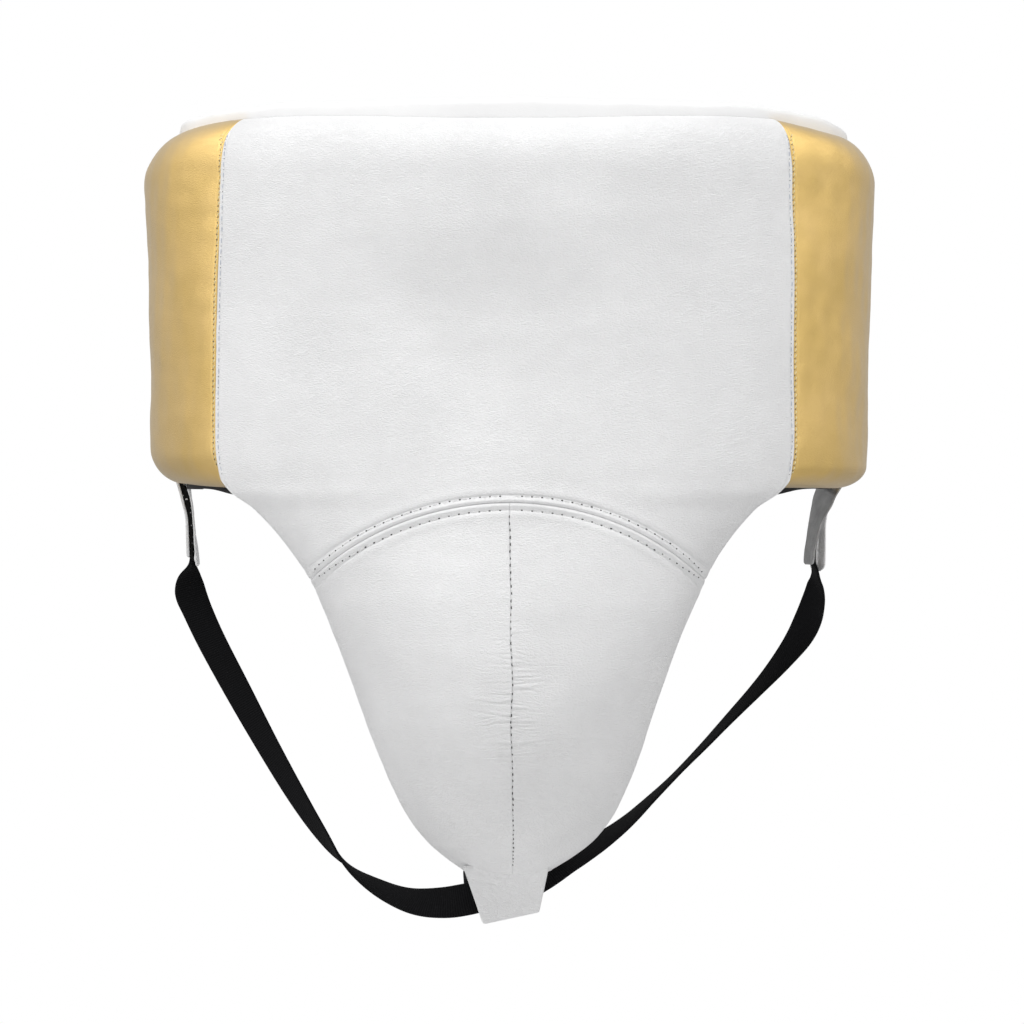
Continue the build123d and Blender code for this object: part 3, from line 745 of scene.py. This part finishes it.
def makeCupCover(side):
    # rows go out along the arc seam's wall, down to the tip and in under it; columns start at the
    # middle seam; both are closer where the creases are
    v, hand = cupCover, hands[side]
    shares = np.linspace(0, 1, v["columns"]) ** v["crowding"]
    count, edge, start = len(shares), v["wall"], seamHeight(shares)
    even = np.linspace(0, 1, v["rows"])[1:]
    spread = even + 0.045 * np.sin(2 * math.pi * even)
    down = np.concatenate([np.linspace(0, v["seamShare"], v["seamRows"]),
                           v["seamShare"] + (1 - v["seamShare"]) * spread])
    body = start + (cup["bottom"] - start) * down[:, None]
    tip = np.linspace(0, math.pi / 2, v["tipRows"] + 1)[1:]
    z = np.concatenate([np.tile(start, (edge, 1)), body,
                        np.repeat((cup["bottom"] - v["tipDrop"] * np.sin(tip))[:, None], count, 1),
                        np.full((edge - 1, count), cup["bottom"] - v["tipDrop"])])
    layer = np.concatenate([np.linspace(1, 0, edge + 1)[:-1], 0 * down, v["tipLayer"] * (1 - np.cos(tip)),
                            np.linspace(v["tipLayer"], 1, edge)[1:]])[:, None]
    x = frontPoint(shares, z)[..., 0]
    fromArc = squareTo(start - z, shares)
    relief = cupRelief(hand * x, z, hand) * smoothStep(0, 10, fromArc) * smoothStep(-262, -240, z)
    inset = (1 - layer) * (relief + shoulder(fromArc, cup["arcEdge"]) + arcSeam(fromArc, shares)
                           + shoulder(x, v["seamRadius"]) - 0.10 * bell(x - 0.9, 0.5))
    rings = frontRings(shares, z, layer, inset, ends=(0, 1))
    rings[..., 0] += v["gap"] * (1 - smoothStep(0, 3, rings[..., 0]))
    addPiece(settledForm("cupCover." + side, rings, side), "whiteLeather", "front",
             ["cup_cover_" + side] + (["cup_foam"] if side == "right" else []))


makeCupCover("right")
makeCupCover("left")
print("cup covers made")


# Wings: gold padded panels with rounded ends, from the seam to behind the hip

wing = dict(columns=130, crowding=1.5, rows=110, topRoll=20.0, bottomRoll=dict(left=16.0, right=10.5),
            rollRows=14, seamRadius=0.7, gap=0.08, endRound=18, capSteps=10)


def beltRings(angles, z, outerDepth, innerDepth, reach):
    # rings between two depths of the belt; angles may differ from row to row
    outer, inner = beltPoint(angles, outerDepth, z), beltPoint(angles, innerDepth, z)
    first, last = [ellipseHeading(beltWidth(z[:, c]), belt["halfDepth"], np.radians(angles[:, c]))
                   for c in (0, -1)]
    return layeredRings(outer, inner, wing["capSteps"], reach, (-first, last))


def wingLift(points, side):
    # the inner edge of the top roll stands higher than its crown, and the left wing's lower edge rises
    # towards the hip; depth is how far in from the outer skin a point lies
    x, y, z = points[..., 0], points[..., 1], points[..., 2]
    turned = beltAngle(x, y)
    depth = (1 - np.hypot(x / beltWidth(z), (y - belt["centreY"]) / belt["halfDepth"])) * belt["seamRadius"]
    inner = np.clip(depth / belt["padding"], 0, 1) * smoothStep(60, 84, z)
    if side == "left":
        return (inner * (1.3 + 2.9 * smoothStep(54, 80, turned))
                + 2.2 * smoothStep(53, 84, turned) * smoothStep(-50, -80, z))
    return inner * (1.3 * (1 - smoothStep(50, 60, turned)) + 3.2 * smoothStep(64, 80, turned))


def makeWing(side):
    # rows go from the crest of the top roll to that of the bottom roll; columns start at the seam, where
    # they are closer, and end further forwards in the rolls
    v, hand = wing, hands[side]
    psi = np.linspace(0, math.pi / 2, v["rollRows"])
    top = belt["top"] - v["topRoll"] * (1 - np.cos(psi))
    bottom = (belt["bottom"] + v["bottomRoll"][side] * (1 - np.cos(psi)))[::-1]
    middle = np.linspace(top[-1], bottom[0], v["rows"])[1:-1]
    share = np.concatenate([1 - np.sin(psi), 0 * middle, (1 - np.sin(psi))[::-1]])[:, None]
    first = belt["seamAngle"] + v["gap"]
    along = np.linspace(0, 1, v["columns"]) ** v["crowding"]
    angles = first + (belt["wingEnd"] - v["endRound"] * share - first) * along
    z = np.repeat(np.concatenate([top, middle, bottom])[:, None], v["columns"], 1)
    skin = beltPoint(angles, 0.0, z)
    fromSeam = np.radians(angles - first) * belt["wingRadius"]
    inset = (shoulder(fromSeam, v["seamRadius"]) + 0.22 * bell(fromSeam - 1.9, 0.5)
             + 0.7 * np.clip(1 - fromSeam / 10, 0, 1) ** 2
             - 0.3 * softNoise(skin[..., 0], skin[..., 1], z, 58, 70 + hand)
             - 0.09 * softNoise(skin[..., 0], skin[..., 1], z, 15, 80 + hand))
    depth = share * belt["padding"] + np.maximum(inset, -0.8) * (1 - share)
    thick = belt["padding"] - depth
    reach = [np.minimum(0.2, thick[:, 0]), 0.45 * thick[:, -1]]
    rings = beltRings(angles, z, depth, np.full_like(z, belt["padding"]), reach)
    rings[..., 2] += wingLift(rings * [hand, 1, 1], side)
    addPiece(settledForm("wingCover." + side, rings, side), "goldLeather", "front",
             ["wing_cover_" + side, "wing_pad_" + side], blendTo=wingBend[side])


makeWing("right")
makeWing("left")
print("wings made")


# Rim: the white edge of the lining, which stands above the front and sinks towards the back

rim = dict(near=16.0, far=21.55, top=92.7, fall=0.08, height=14.0, frontY=-111.5, sideRise=2.2, sideNear=2.6,
           rightFall=2.4, leftNarrow=3.6, columns=150, around=40)


def rimTop(y):
    return rim["top"] - rim["fall"] * (y - rim["frontY"]) + rim["sideRise"] * smoothStep(-105, -82, y)


def makeRim(name, firstAngle, lastAngle, side, replaced, blendTo=None):
    # a rounded bar, about 5.5 by 14 mm, carried round the belt; its section is a superellipse
    v = rim
    angles = np.linspace(firstAngle, lastAngle, v["columns"])
    angles = np.sort(np.concatenate([angles, [firstAngle + 0.04, lastAngle - 0.04]]))  # crisp ends
    signed = angles * hands[side]  # so that a wing's waves go on from the front's
    around = np.linspace(0, 2 * math.pi, v["around"], endpoint=False) + 0.05
    sideways, upright = superellipse(around, 0.7, 0.45)
    swell = 1 + 0.03 * np.sin(np.radians(signed) * 23) + 0.03 * np.sin(np.radians(signed) * 41 + 1)
    if blendTo:  # a wing's rim thins out at its end
        swell = swell * np.sqrt(np.clip((lastAngle - angles) / 4.0, 0.02, 1))
    outward = (v["sideNear"] * smoothStep(53, 75, np.abs(angles))
               - v["leftNarrow"] * smoothStep(68, 86, -signed)) / 2
    half = ((v["far"] - v["near"]) / 2 + outward) * swell
    depth = ((v["near"] + v["far"]) / 2 - outward)[:, None] + sideways * half[:, None]
    flat = beltPoint(angles[:, None], depth, 0.0 * depth)
    crest = rimTop(flat[..., 1]) - v["rightFall"] * smoothStep(56, 88, signed)[:, None]
    wave = 0.25 * np.sin(np.radians(signed) * 17 + 0.7) + 0.15 * np.sin(np.radians(signed) * 39)
    z = crest - v["height"] / 2 + upright * v["height"] / 2 + wave[:, None] * (upright > 0)
    rings = beltPoint(angles[:, None], depth, z)
    addPiece(settledForm(name, rings, side, sinking=0.0), "rimLeather", "front", replaced,
             blendTo=blendTo)


makeRim("rim.front", -belt["seamAngle"], belt["seamAngle"], "right", ["front_rim"])
for side in hands:
    makeRim("rim." + side, belt["seamAngle"] + 0.01, belt["wingEnd"] - 10, side, ["wing_rim_" + side],
            wingBend[side])
print("rims made")


# Linings: black padded nylon behind the panels, down into the cup

lining = dict(near=15.85, middle=18, thickness=5.7, cupThickness=2.6, cupEnd=-244.0, columns=141, rows=150,
              gap=0.35, edgePower=20, capSteps=6, wingRows=110, wingColumns=90, endRound=14)


def liningTop(angles):
    # just below the rim
    return rimTop(beltPoint(angles, lining["middle"], 0.0)[..., 1]) - rim["height"] - lining["gap"]


def makeFrontLining():
    # a sheet on ellipses just inside the padding: rows go from the rim down into the cup, and it thins
    # towards its edges and in the cup
    v = lining
    shares, down = np.linspace(-1, 1, v["columns"]), np.linspace(0, 1, v["rows"])
    topZ = liningTop(shares * belt["seamAngle"])
    z = topZ + (v["cupEnd"] - topZ) * down[:, None]
    a, b, centreY, wrap, side, front = frontEllipse(z)
    thick = v["cupThickness"] + (v["thickness"] - v["cupThickness"]) * np.clip((z + 130) / 45, 0, 1)
    stretch = front / belt["padding"]
    t = shares * np.radians(wrap - 1.0 * (1 - smoothStep(belt["legStart"], belt["legTop"], z)))
    swell = 0.35 * softNoise(a * np.sin(t), 0, z, 70, 91)
    edge = smoothStep(0, 0.05, 1 - np.abs(shares)) * 0.85 + 0.15

    def sheetAt(extra):
        x = (a - side - extra) * np.sin(t)
        y = centreY - (b - front - extra * np.where(extra > 1, stretch, 1)) * np.cos(t)
        return np.stack([x, y, z], -1)

    edge = fullness(2 * down - 1, v["edgePower"])[:, None] * edge
    far = sheetAt(v["gap"] + (thick + swell) * edge + 0.05)
    out = ellipseHeading(a[:, -1], b[:, -1], t[:, -1])
    rings = layeredRings(sheetAt(np.full_like(z, v["gap"])), far, v["capSteps"],
                         [np.full(v["rows"], 0.3)] * 2, (out * [-1, 1, 1], out))
    addPiece(settledForm("frontLining", rings), "blackNylon", "front",
             ["front_liner", "cup_cushion"])


def makeWingLining(side):
    # a sheet round the belt: rows go from the rim to the lower edge, which dips beside the seam, and
    # columns from the seam to an end that is rounded at its corners
    v, hand, rows = lining, hands[side], lining["wingRows"]
    first = belt["seamAngle"] + 0.15
    height = np.linspace(1, 0, rows)[:, None]
    low = belt["bottom"] - 0.3
    corner = np.clip((np.abs(low + (78 - low) * height) - 50) / 34, 0, 1) ** 1.6
    last = belt["linerEnd"] - v["endRound"] * corner
    angles = first + (last - first) * np.linspace(0, 1, v["wingColumns"])
    topZ = liningTop(angles)
    lowZ = low - 3.0 * bell(angles - 54, 7)
    z = lowZ + (topZ - lowZ) * height
    edgeRound = fullness(2 * np.linspace(0, 1, rows) - 1, v["edgePower"])
    skin = beltPoint(angles, v["middle"], z)
    swell = 0.35 * softNoise(skin[..., 0], skin[..., 1], z, 70, 95 + hand)
    far = v["near"] + 0.05 + (v["thickness"] + swell) * edgeRound[:, None]
    rings = beltRings(angles, z, np.full_like(z, v["near"]), far, [np.full(rows, 0.15), 2.4 * edgeRound])
    addPiece(settledForm("wingLining." + side, rings, side), "blackNylon", "front",
             ["wing_liner_" + side], blendTo=wingBend[side])


makeFrontLining()
makeWingLining("right")
makeWingLining("left")
print("linings made")


# Hip tabs: layers of leather, and between them the doubled end of the leg strap

hipTab = dict(
    rows=50, columns=32, corner=3.5, depth=-5, ripple=0.18, coreRipple=0.1,
    # rows of height, x, turn, reach to the front, reach to the back and thickness
    left=[[(-80, -158.9, 0, 11, 11, 1.5), (-84.7, -157.4, 0, 11, 11, 1.5), (-88.5, -156.4, 0, 11, 11, 1.5),
           (-92.3, -155.4, 0, 11, 11, 1.4), (-96.2, -154.4, 0, 11, 11, 1.4), (-100, -154, 0, 11, 11, 1.5),
           (-111, -153.9, 0, 11, 11, 1.6), (-116.8, -153.6, 0, 11, 11, 1.5)],
          [(-80, -154.9, 1, 11, 11, 1.15), (-84.7, -153.7, 2, 11, 11, 1.15),
           (-88.5, -152.9, 4, 11, 11, 1.1), (-92.3, -152.2, 4, 11, 11, 1), (-96.2, -151.8, 4, 11, 11, 1),
           (-103.8, -151.2, 4, 11, 11, 1.1), (-107.6, -150.9, 2.5, 11, 11, 1.15),
           (-111.4, -150.5, 1.2, 11, 11, 1.15), (-115.3, -150.1, 0.7, 11, 11, 1.15),
           (-121, -149.6, 0, 11, 11, 1.15)]],
    right=[[(-80, 153.5, 30, 11, 11, 1.3), (-84, 151.6, 27, 11, 11, 1.3), (-88.5, 149.5, 23.5, 11, 11, 1.3),
            (-92, 148.5, 21, 11, 11, 1.3), (-97, 146.6, 15, 11, 11, 1.3), (-102.8, 144.8, 10, 11, 11, 1.3),
            (-108.6, 143.6, 8, 11, 11, 1.3), (-114.3, 142.5, 7, 11, 11, 1.3),
            (-120.3, 142.1, 7, 11, 11, 1.3)],
           [(-80, 154.9, 30, 5, 11, 1.2), (-84, 153, 27, 5, 11, 1.2), (-88.5, 150.9, 23.5, 5, 11, 1.2),
            (-92, 149.6, 21, 4, 11, 1.2), (-97, 147.4, 16.5, 1, 10, 1.2), (-102, 146.4, 15.8, 0.5, 8, 1.2),
            (-108, 146, 15.5, 0.5, 7.5, 1.2), (-123, 145.8, 16, 0.5, 7.5, 1.2)],
           [(-93, 149.2, 40, 3.6, 2.2, 1), (-97, 148.2, 50, 3.2, 2.3, 1), (-102, 147.6, 56, 3, 2.5, 1.1),
            (-112, 147.4, 58, 3, 2.5, 1.1), (-123.4, 147.2, 58, 3, 2.5, 1.1)]],
    leftCore=[(-79, -157.3, 2, 10.4, 10.4, 2.6), (-84.7, -155.9, 2, 10.4, 10.4, 2.6),
              (-88.5, -154.8, 2, 10.4, 10.4, 3), (-92.3, -153.8, 2, 10.4, 10.4, 3.1),
              (-96.2, -153, 2, 10.4, 10.4, 2.9), (-100, -152.8, 2, 10.4, 10.4, 2.5),
              (-107, -152.5, 2, 10.2, 10.2, 2.3), (-115, -152.4, 2, 9.2, 9.2, 2),
              (-118.6, -152.3, 2, 8, 8, 1.7)],
    rightCore=[(-104, 145.6, 9, 2, 8, 0.9), (-107, 145, 8, 2, 8, 0.9), (-113, 144.3, 7, 3, 8, 1),
               (-118.4, 143.9, 7, 5, 8, 1.1)])


def standingPlate(name, table, ripple):
    # a plate whose middle, turn, width and thickness come from a table by height; the section is a
    # superellipse and the lower corners are quarter circles
    v, table = hipTab, np.array(table, float)[::-1]
    z = np.linspace(table[-1, 0], table[0, 0], v["rows"])
    x, turn, toFront, toBack, thickness = readTable(table, z)
    turn = np.radians(turn)
    left = np.clip(v["corner"] - (z - z[-1]), 0, v["corner"])
    trim = v["corner"] - np.sqrt(v["corner"] ** 2 - left ** 2 + 0.001)
    flat, thick = superellipse(np.linspace(0, 2 * math.pi, v["columns"], endpoint=False) + 0.1, 0.12, 0.4)
    reach = np.where(flat > 0, (toBack - trim)[:, None], (toFront - trim)[:, None]) * flat
    close = np.sqrt(np.clip((z - z[-1]) / 0.7, 0.02, 1))
    wide = np.stack([-np.sin(turn), np.cos(turn), 0 * turn], -1)
    out = np.stack([np.cos(turn), np.sin(turn), 0 * turn], -1)
    down = ((z[0] - z) / (z[0] - z[-1]))[:, None]
    bow = ripple * (np.sin(down * 9 + 1) * 0.6 + np.sin(reach / 5 + down * 4)) * down
    middle = np.stack([x, v["depth"] + 0 * x, z], -1)
    return ringForm(name, middle[:, None] + wide[:, None] * reach[..., None]
                    + out[:, None] * (thick * (thickness * close / 2)[:, None] + bow)[..., None])


for side in hands:
    body = side + "_wing"
    for number, table in enumerate(hipTab[side]):
        plate = standingPlate("hipTab.%s.%d" % (side, number + 1), table, hipTab["ripple"])
        # the right tab's first plate is grey as painted shade on its inner face; the left tab's stays white
        finish = "tabShadeGrey" if (side, number) == ("right", 0) else "whiteLeather"
        addPiece(plate, finish, body, ["hip_tab_" + side] if number == 0 else [])
    core = standingPlate("tabCore." + side, hipTab[side + "Core"], hipTab["coreRipple"])
    addPiece(core, "frayedElastic", body)
print("hip tabs made")


# Tail: a tapered piece of leather under the cup, with black fabric closing it behind

tail = dict(  # corners: top left, top right, bottom right, bottom left
    corners=[(-21.3, -80.2, -258.2), (17.2, -80.2, -255.2), (12.1, -62.0, -281.5), (-12.1, -61.6, -286.6)],
    thickness=2.0, rows=70, columns=60)
backing = dict(
    corners=[(-21.8, -56.4, -262.0), (9.0, -56.4, -262.0), (9.0, -53.6, -279.5), (-20.5, -53.6, -281.5)],
    thickness=1.3, rows=40, columns=50)


def makePlate(name, v, relief):
    # a soft plate: a bilinear patch between four corners whose front and back close in a rounded rim;
    # relief moves it along Y
    across, down = np.meshgrid(np.linspace(0, 1, v["columns"]), np.linspace(0, 1, v["rows"]))
    corners = np.array(v["corners"])
    topEdge = corners[0] + (corners[1] - corners[0]) * across[..., None]
    lowEdge = corners[3] + (corners[2] - corners[3]) * across[..., None]
    middle = topEdge + (lowEdge - topEdge) * down[..., None]
    middle[..., 1] += relief(middle[..., 0], middle[..., 2])
    half = v["thickness"] / 2 * fullness(2 * down - 1, 24)
    near, far = middle.copy(), middle.copy()
    near[..., 1] -= half
    far[..., 1] += half
    out = np.tile(np.array([[1.0, 0, 0]]), (v["rows"], 1))
    return ringForm(name, layeredRings(near, far, 8, [half[:, 0]] * 2, (-out, out)))


def tailCreases(x, z):
    # a slow twist, and short folds under the cup that fade downwards
    folds = np.sin(z * 1.9 + 0.25 * x + softNoise(x, 0, z, 14, 9)) * bell(x + 11, 8) * bell(z + 265, 4.0)
    return (0.8 * np.sin((x + 4) / 11) * smoothStep(-262, -284, z) + 0.28 * folds
            + 0.10 * softNoise(x, 0, z, 9, 7))


def backingCreases(x, z):
    return 0.2 * softNoise(x, 0, z, 14, 8)


addPiece(makePlate("tailTab", tail, tailCreases), "whiteLeather", "front", ["tail_tab"])
addPiece(makePlate("tailBacking", backing, backingCreases), "blackNylon", "front",
         ["tail_backing"])
print("tail made")


# Back bands: wide ribbed elastic, with a loop patch on the right one and a hook tab on the left

band = dict(
    thickness=2.5, height=90.0, depth=16.2, gap=0.4, end=172.6, rows=90, columns=140, capSteps=8, waves=0.25,
    anchor=dict(thickness=1.5, height=82.0, corner=2.0), patch=dict(thickness=1.4, height=82.0, corner=3.0),
    hooks=dict(thickness=1.4, height=82.0, corner=2.0), patchDepth=14.45, patchEnd=172.0, hookDepth=19.05)


def uprightStrip(firstAngle, lastAngle, depth, thickness, height, corner=0, wavy=0):
    # a strip that follows the back of the belt: rounded long edges, and ends that close in a curve; a
    # wavy one lies in slow waves, stronger along its edges
    angles, up = np.linspace(firstAngle, lastAngle, band["columns"]), np.linspace(-1, 1, band["rows"])
    edge = fullness(up, 40)[:, None]
    grid, upGrid = np.meshgrid(angles, up)
    run = np.radians(np.minimum(grid - firstAngle, lastAngle - grid)) * belt["backRadius"]
    z = upGrid * (height / 2 - (shoulder(run, corner) if corner else 0))
    wave = wavy * np.sin(np.radians(grid) * 19) * (z / 45) ** 2
    near = depth + thickness / 2 * (1 - edge) + wave
    far = depth + thickness - thickness / 2 * (1 - edge) + wave

    outer, inner = beltPoint(grid, near, 0.0), beltPoint(grid, far, 0.0)
    outer[..., 2] = inner[..., 2] = z
    ends = np.radians(np.array([firstAngle, lastAngle]))
    first, last = ellipseHeading(beltWidth(0.0), belt["halfDepth"], ends)
    reach, ones = (thickness / 2 * edge)[:, 0], np.ones((len(up), 1))
    return layeredRings(outer, inner, band["capSteps"], [reach, reach], (-first * ones, last * ones))


def addStrip(name, rings, side, finish, body, replaced, blendTo=None):
    obj = ringForm(name, rings * [hands[side], 1, 1])
    addPiece(obj, finish, body, replaced, blendTo=blendTo)


def makeBands():
    # for each band, a line just behind the end of the wing's lining, along the belt's direction there
    v, first = band, belt["linerEnd"]
    middle = v["depth"] + v["thickness"] / 2
    along = ellipseHeading(beltWidth(0.0) - middle, belt["halfDepth"] - middle, math.radians(first))
    centre = beltPoint(first, middle, 0.0) + along * (v["gap"] + v["thickness"] / 2)
    for side, hand in hands.items():
        start, end = (centre - along * 1.2) * [hand, 1, 1], (centre + along * 9) * [hand, 1, 1]
        strip = uprightStrip(first - 1.2, v["end"], v["depth"], v["thickness"], v["height"],
                             wavy=v["waves"])
        addStrip("backBand." + side, strip, side, "elastic", side + "_wing", ["band_" + side],
                 (side + "_band", tuple(start * mm), tuple(end * mm)))
        anchor = uprightStrip(first - 4.5, first + 0.1, v["depth"] - 2.2, **v["anchor"])
        addStrip("bandAnchor." + side, anchor, side, "blackNylon", side + "_wing",
                 ["band_anchor_" + side])
    addStrip("loopPatch", uprightStrip(146.0, v["patchEnd"], v["patchDepth"], **v["patch"]), "right",
             "loopPile", "right_band", ["loop_patch"])
    addStrip("hookTab", uprightStrip(160.0, v["patchEnd"], v["patchDepth"], **v["patch"]), "left",
             "whiteLeather", "left_band", ["hook_tab"])
    addStrip("hookPatch", uprightStrip(162.0, v["patchEnd"], v["hookDepth"], **v["hooks"]), "left",
             "hookPile", "left_band", ["hook_patch"])


makeBands()
print("back bands made")


# Stitches: short arched threads in rows

stitches = dict(
    sides=7, rings=7, frontInset=2.2, frontHalf=133.5, wingInset=0.33, arcOffset=3.4, arcHalf=101,
    # spacing, then the thread's share of it, its radius and how high it arches; the length and radius of
    # the dark marks that paint the needle holes' shade; how far the ends of a thread lie askew
    front=dict(pitch=5.0, share=0.55, radius=0.24, lift=0.08, hole=0.5, holeRadius=0.20, askew=0.0),
    wing=dict(pitch=2.6, share=0.60, radius=0.24, lift=0.12, hole=0.7, holeRadius=0.26, askew=0.28),
    arc=dict(pitch=4.6, share=0.66, radius=0.26, lift=0.08, hole=1.1, holeRadius=0.30, askew=0.0),
    middle=dict(pitch=3.2, share=0.48, radius=0.22, lift=0.02, hole=1.5, holeRadius=0.27, askew=0.0))


def stitchMesh(name, starts, ends, normals, radius, lift):
    # each thread is a tube whose middle arches by lift and whose ends sink into the leather
    t = np.linspace(0, 1, stitches["rings"])
    line = starts[:, None] + (ends - starts)[:, None] * t[None, :, None]
    line = line + normals[:, None] * ((lift + radius) * np.sin(math.pi * t) ** 0.6 - radius)[None, :, None]
    direction = unit(ends - starts)
    sideways = unit(np.cross(direction, normals))
    upward = np.cross(sideways, direction)
    around = np.linspace(0, 2 * math.pi, stitches["sides"], endpoint=False)
    thick = radius * (0.55 + 0.45 * np.sin(math.pi * t) ** 0.5)
    rings = (line[:, :, None] + thick[None, :, None, None]
             * (upward[:, None, None] * np.cos(around)[None, None, :, None]
                + sideways[:, None, None] * np.sin(around)[None, None, :, None]))
    index = np.arange(rings[..., 0].size).reshape(rings.shape[:3])
    after = np.roll(index, -1, 2)
    faces = np.stack([index[:, :-1], index[:, 1:], after[:, 1:], after[:, :-1]], -1).reshape(-1, 4)
    return closeUp(makeMesh(name, rings.reshape(-1, 3), faces), holeSides=stitches["sides"])


def stitchRow(name, target, path, row, finish, blendTo=None):
    # threads of a share of the pitch, laid along a path and dropped onto the target's surface; each may
    # lie askew across the path, and a dark mark that paints the shade of a needle hole fills the gap between
    # two of them
    run = runLength(path)
    pitch, share, radius = row["pitch"], row["share"], row["radius"]
    first = (np.arange(int(run[-1] / pitch)) + 0.5 - share / 2) * pitch
    points, normals = [], []
    for at in (first, first + pitch * share):
        flat = np.stack([np.interp(at, run, path[:, k]) for k in range(3)], -1)
        found = [target.closest_point_on_mesh(Vector(p * mm)) for p in flat]
        points.append(np.array([hit[1] for hit in found]) / mm)
        normals.append(np.array([hit[2] for hit in found]))
    wobble = 0.06 * rng.normal(size=points[0].shape)
    upward = unit(normals[0] + normals[1])
    across = np.cross(points[1] - points[0], upward)
    across *= row["askew"] / np.linalg.norm(across, axis=1)[:, None]
    starts, ends = points[0] + wobble - across, points[1] + wobble[::-1] + across
    obj = stitchMesh(name, starts, ends, upward, radius, row["lift"])
    middle, half = (starts + ends) / 2, (ends - starts) / 2
    hole = row["hole"] / (pitch * share)  # its length as a share of the thread's
    reach = 1 + 2 * (1 / share - 1) / 2 - hole
    # painted shade: a dark tube between two threads stands for the shade inside a needle hole
    dark = stitchMesh(name + ".holes", middle + half * reach, middle + half * (reach + 2 * hole), upward,
                      row["holeRadius"], 0.05)
    addPiece(dark, "paintedHoleShade", "front", blendTo=blendTo)
    addPiece(obj, finish, "front", blendTo=blendTo)


def makeStitches():
    # rows beside both side seams, on both sides of the arc seam and down the middle seam
    v, pieces = stitches, bpy.data.objects
    height = np.linspace(82, -82, 200)
    for side, hand in hands.items():
        path = frontPoint(np.full_like(height, 1 - v["frontInset"] / v["frontHalf"]), height)
        # the grey of these threads paints the shadow they cast on the white leather
        stitchRow("stitches.front." + side, pieces["frontCover"], settle(path * [hand, 1, 1]), v["front"],
                  "threadShadowGrey")
        path = beltPoint(belt["seamAngle"] + wing["gap"] + v["wingInset"], 0.0, height[:-3])
        stitchRow("stitches.wing." + side, pieces["wingCover." + side], settle(path * [hand, 1, 1]),
                  v["wing"], "goldThread", wingBend[side])
    x = np.linspace(-89, 89, 400)
    share = x / v["arcHalf"]
    seam = frontPoint(share, seamHeight(share))
    tangent = unit(np.gradient(seam, axis=0))
    for name, offset in (("yoke", v["arcOffset"]), ("cup", -v["arcOffset"])):
        raised = settle(seam + np.stack([-tangent[:, 2], 0 * x, tangent[:, 0]], -1) * offset)
        for side, hand in hands.items():
            target = pieces["frontCover"] if name == "yoke" else pieces["cupCover." + side]
            stitchRow("stitches.%s.%s" % (name, side), target, raised[x * hand > 0.5], v["arc"],
                      "whiteThread")
    middle = frontPoint(0.0, np.linspace(-94, -258, 300))
    middle[:, 0] = 0.1
    stitchRow("stitches.middle", pieces["cupCover.right"], settle(middle), v["middle"],
              "whiteThread")


makeStitches()
print("stitches made")


# Floor and lights

studio = dict(
    floor=-0.9, floorRadius=4.5, floorSides=96, ambient=0.28, reflected=0.86, behind=0.66,
    aim=(0, -0.1, -0.05),  # what the soft boxes face
    # place, width and height, power: one high in front, two high at the sides, two low in front
    lights=[((0.0, -1.1, 1.86), (1.2, 1.0), 19.6), ((-1.58, -0.58, 1.36), (1.1, 1.1), 17.5),
            ((1.58, -0.58, 1.36), (1.1, 1.1), 14.5), ((-1.1, -1.9, -0.05), (1.0, 1.0), 6.1),
            ((1.1, -1.9, -0.05), (1.0, 1.0), 2.8)])


def makeFloor():
    # a flat disc of paper
    radius, count = studio["floorRadius"], studio["floorSides"]
    turn = np.linspace(0, 2 * math.pi, count, endpoint=False)
    points = np.stack([radius * np.cos(turn), radius * np.sin(turn), np.full(count, studio["floor"])], -1)
    floor = makeMesh("floor", points / mm, np.arange(count).reshape(1, count))
    paper, tree, shader = newMaterial("paper", {"Roughness": 0.9})
    place = node(tree, "TexCoord")
    speck = node(tree, "TexNoise", {"Vector": place.outputs["Object"], "Scale": 3.0})
    feed(tree, shader, {"Base Color": colourBetween(tree, speck.outputs["Fac"], (0.90,) * 3, (0.92,) * 3)})
    floor.data.materials.append(paper)


def makeLight(place, size, power):
    # a soft box that faces the belt
    data = bpy.data.lights.new("softBox", "AREA")
    data.shape, data.size, data.size_y, data.energy = "RECTANGLE", size[0], size[1], power
    light = bpy.data.objects.new("softBox", data)
    scene.collection.objects.link(light)
    light.location = place
    light.rotation_euler = (Vector(studio["aim"]) - Vector(place)).to_track_quat("-Z", "Y").to_euler()


def makeWorld():
    # white to look at, dim as a source of soft light, and in reflections less bright towards the back
    world = bpy.data.worlds.new("studio")
    scene.world = world
    world.use_nodes = True
    tree = world.node_tree
    rays = node(tree, "LightPath").outputs
    place = node(tree, "TexCoord")
    axes = node(tree, "SeparateXYZ", {0: place.outputs["Generated"]})
    mirror = node(tree, "MapRange", {"Value": axes.outputs["Y"], "From Min": -0.1, "From Max": 0.9,
                                     "To Min": studio["reflected"], "To Max": studio["behind"]})
    spread = node(tree, "Mix", {0: rays["Is Diffuse Ray"], 2: mirror, 3: studio["ambient"]},
                  data_type="FLOAT")
    seen = node(tree, "Math", {0: rays["Is Camera Ray"], 1: spread}, operation="MAXIMUM")
    feed(tree, tree.nodes["Background"], {"Color": (1, 1, 1, 1), "Strength": seen})


makeFloor()
for place, size, power in studio["lights"]:
    makeLight(place, size, power)
makeWorld()
print("studio ready")
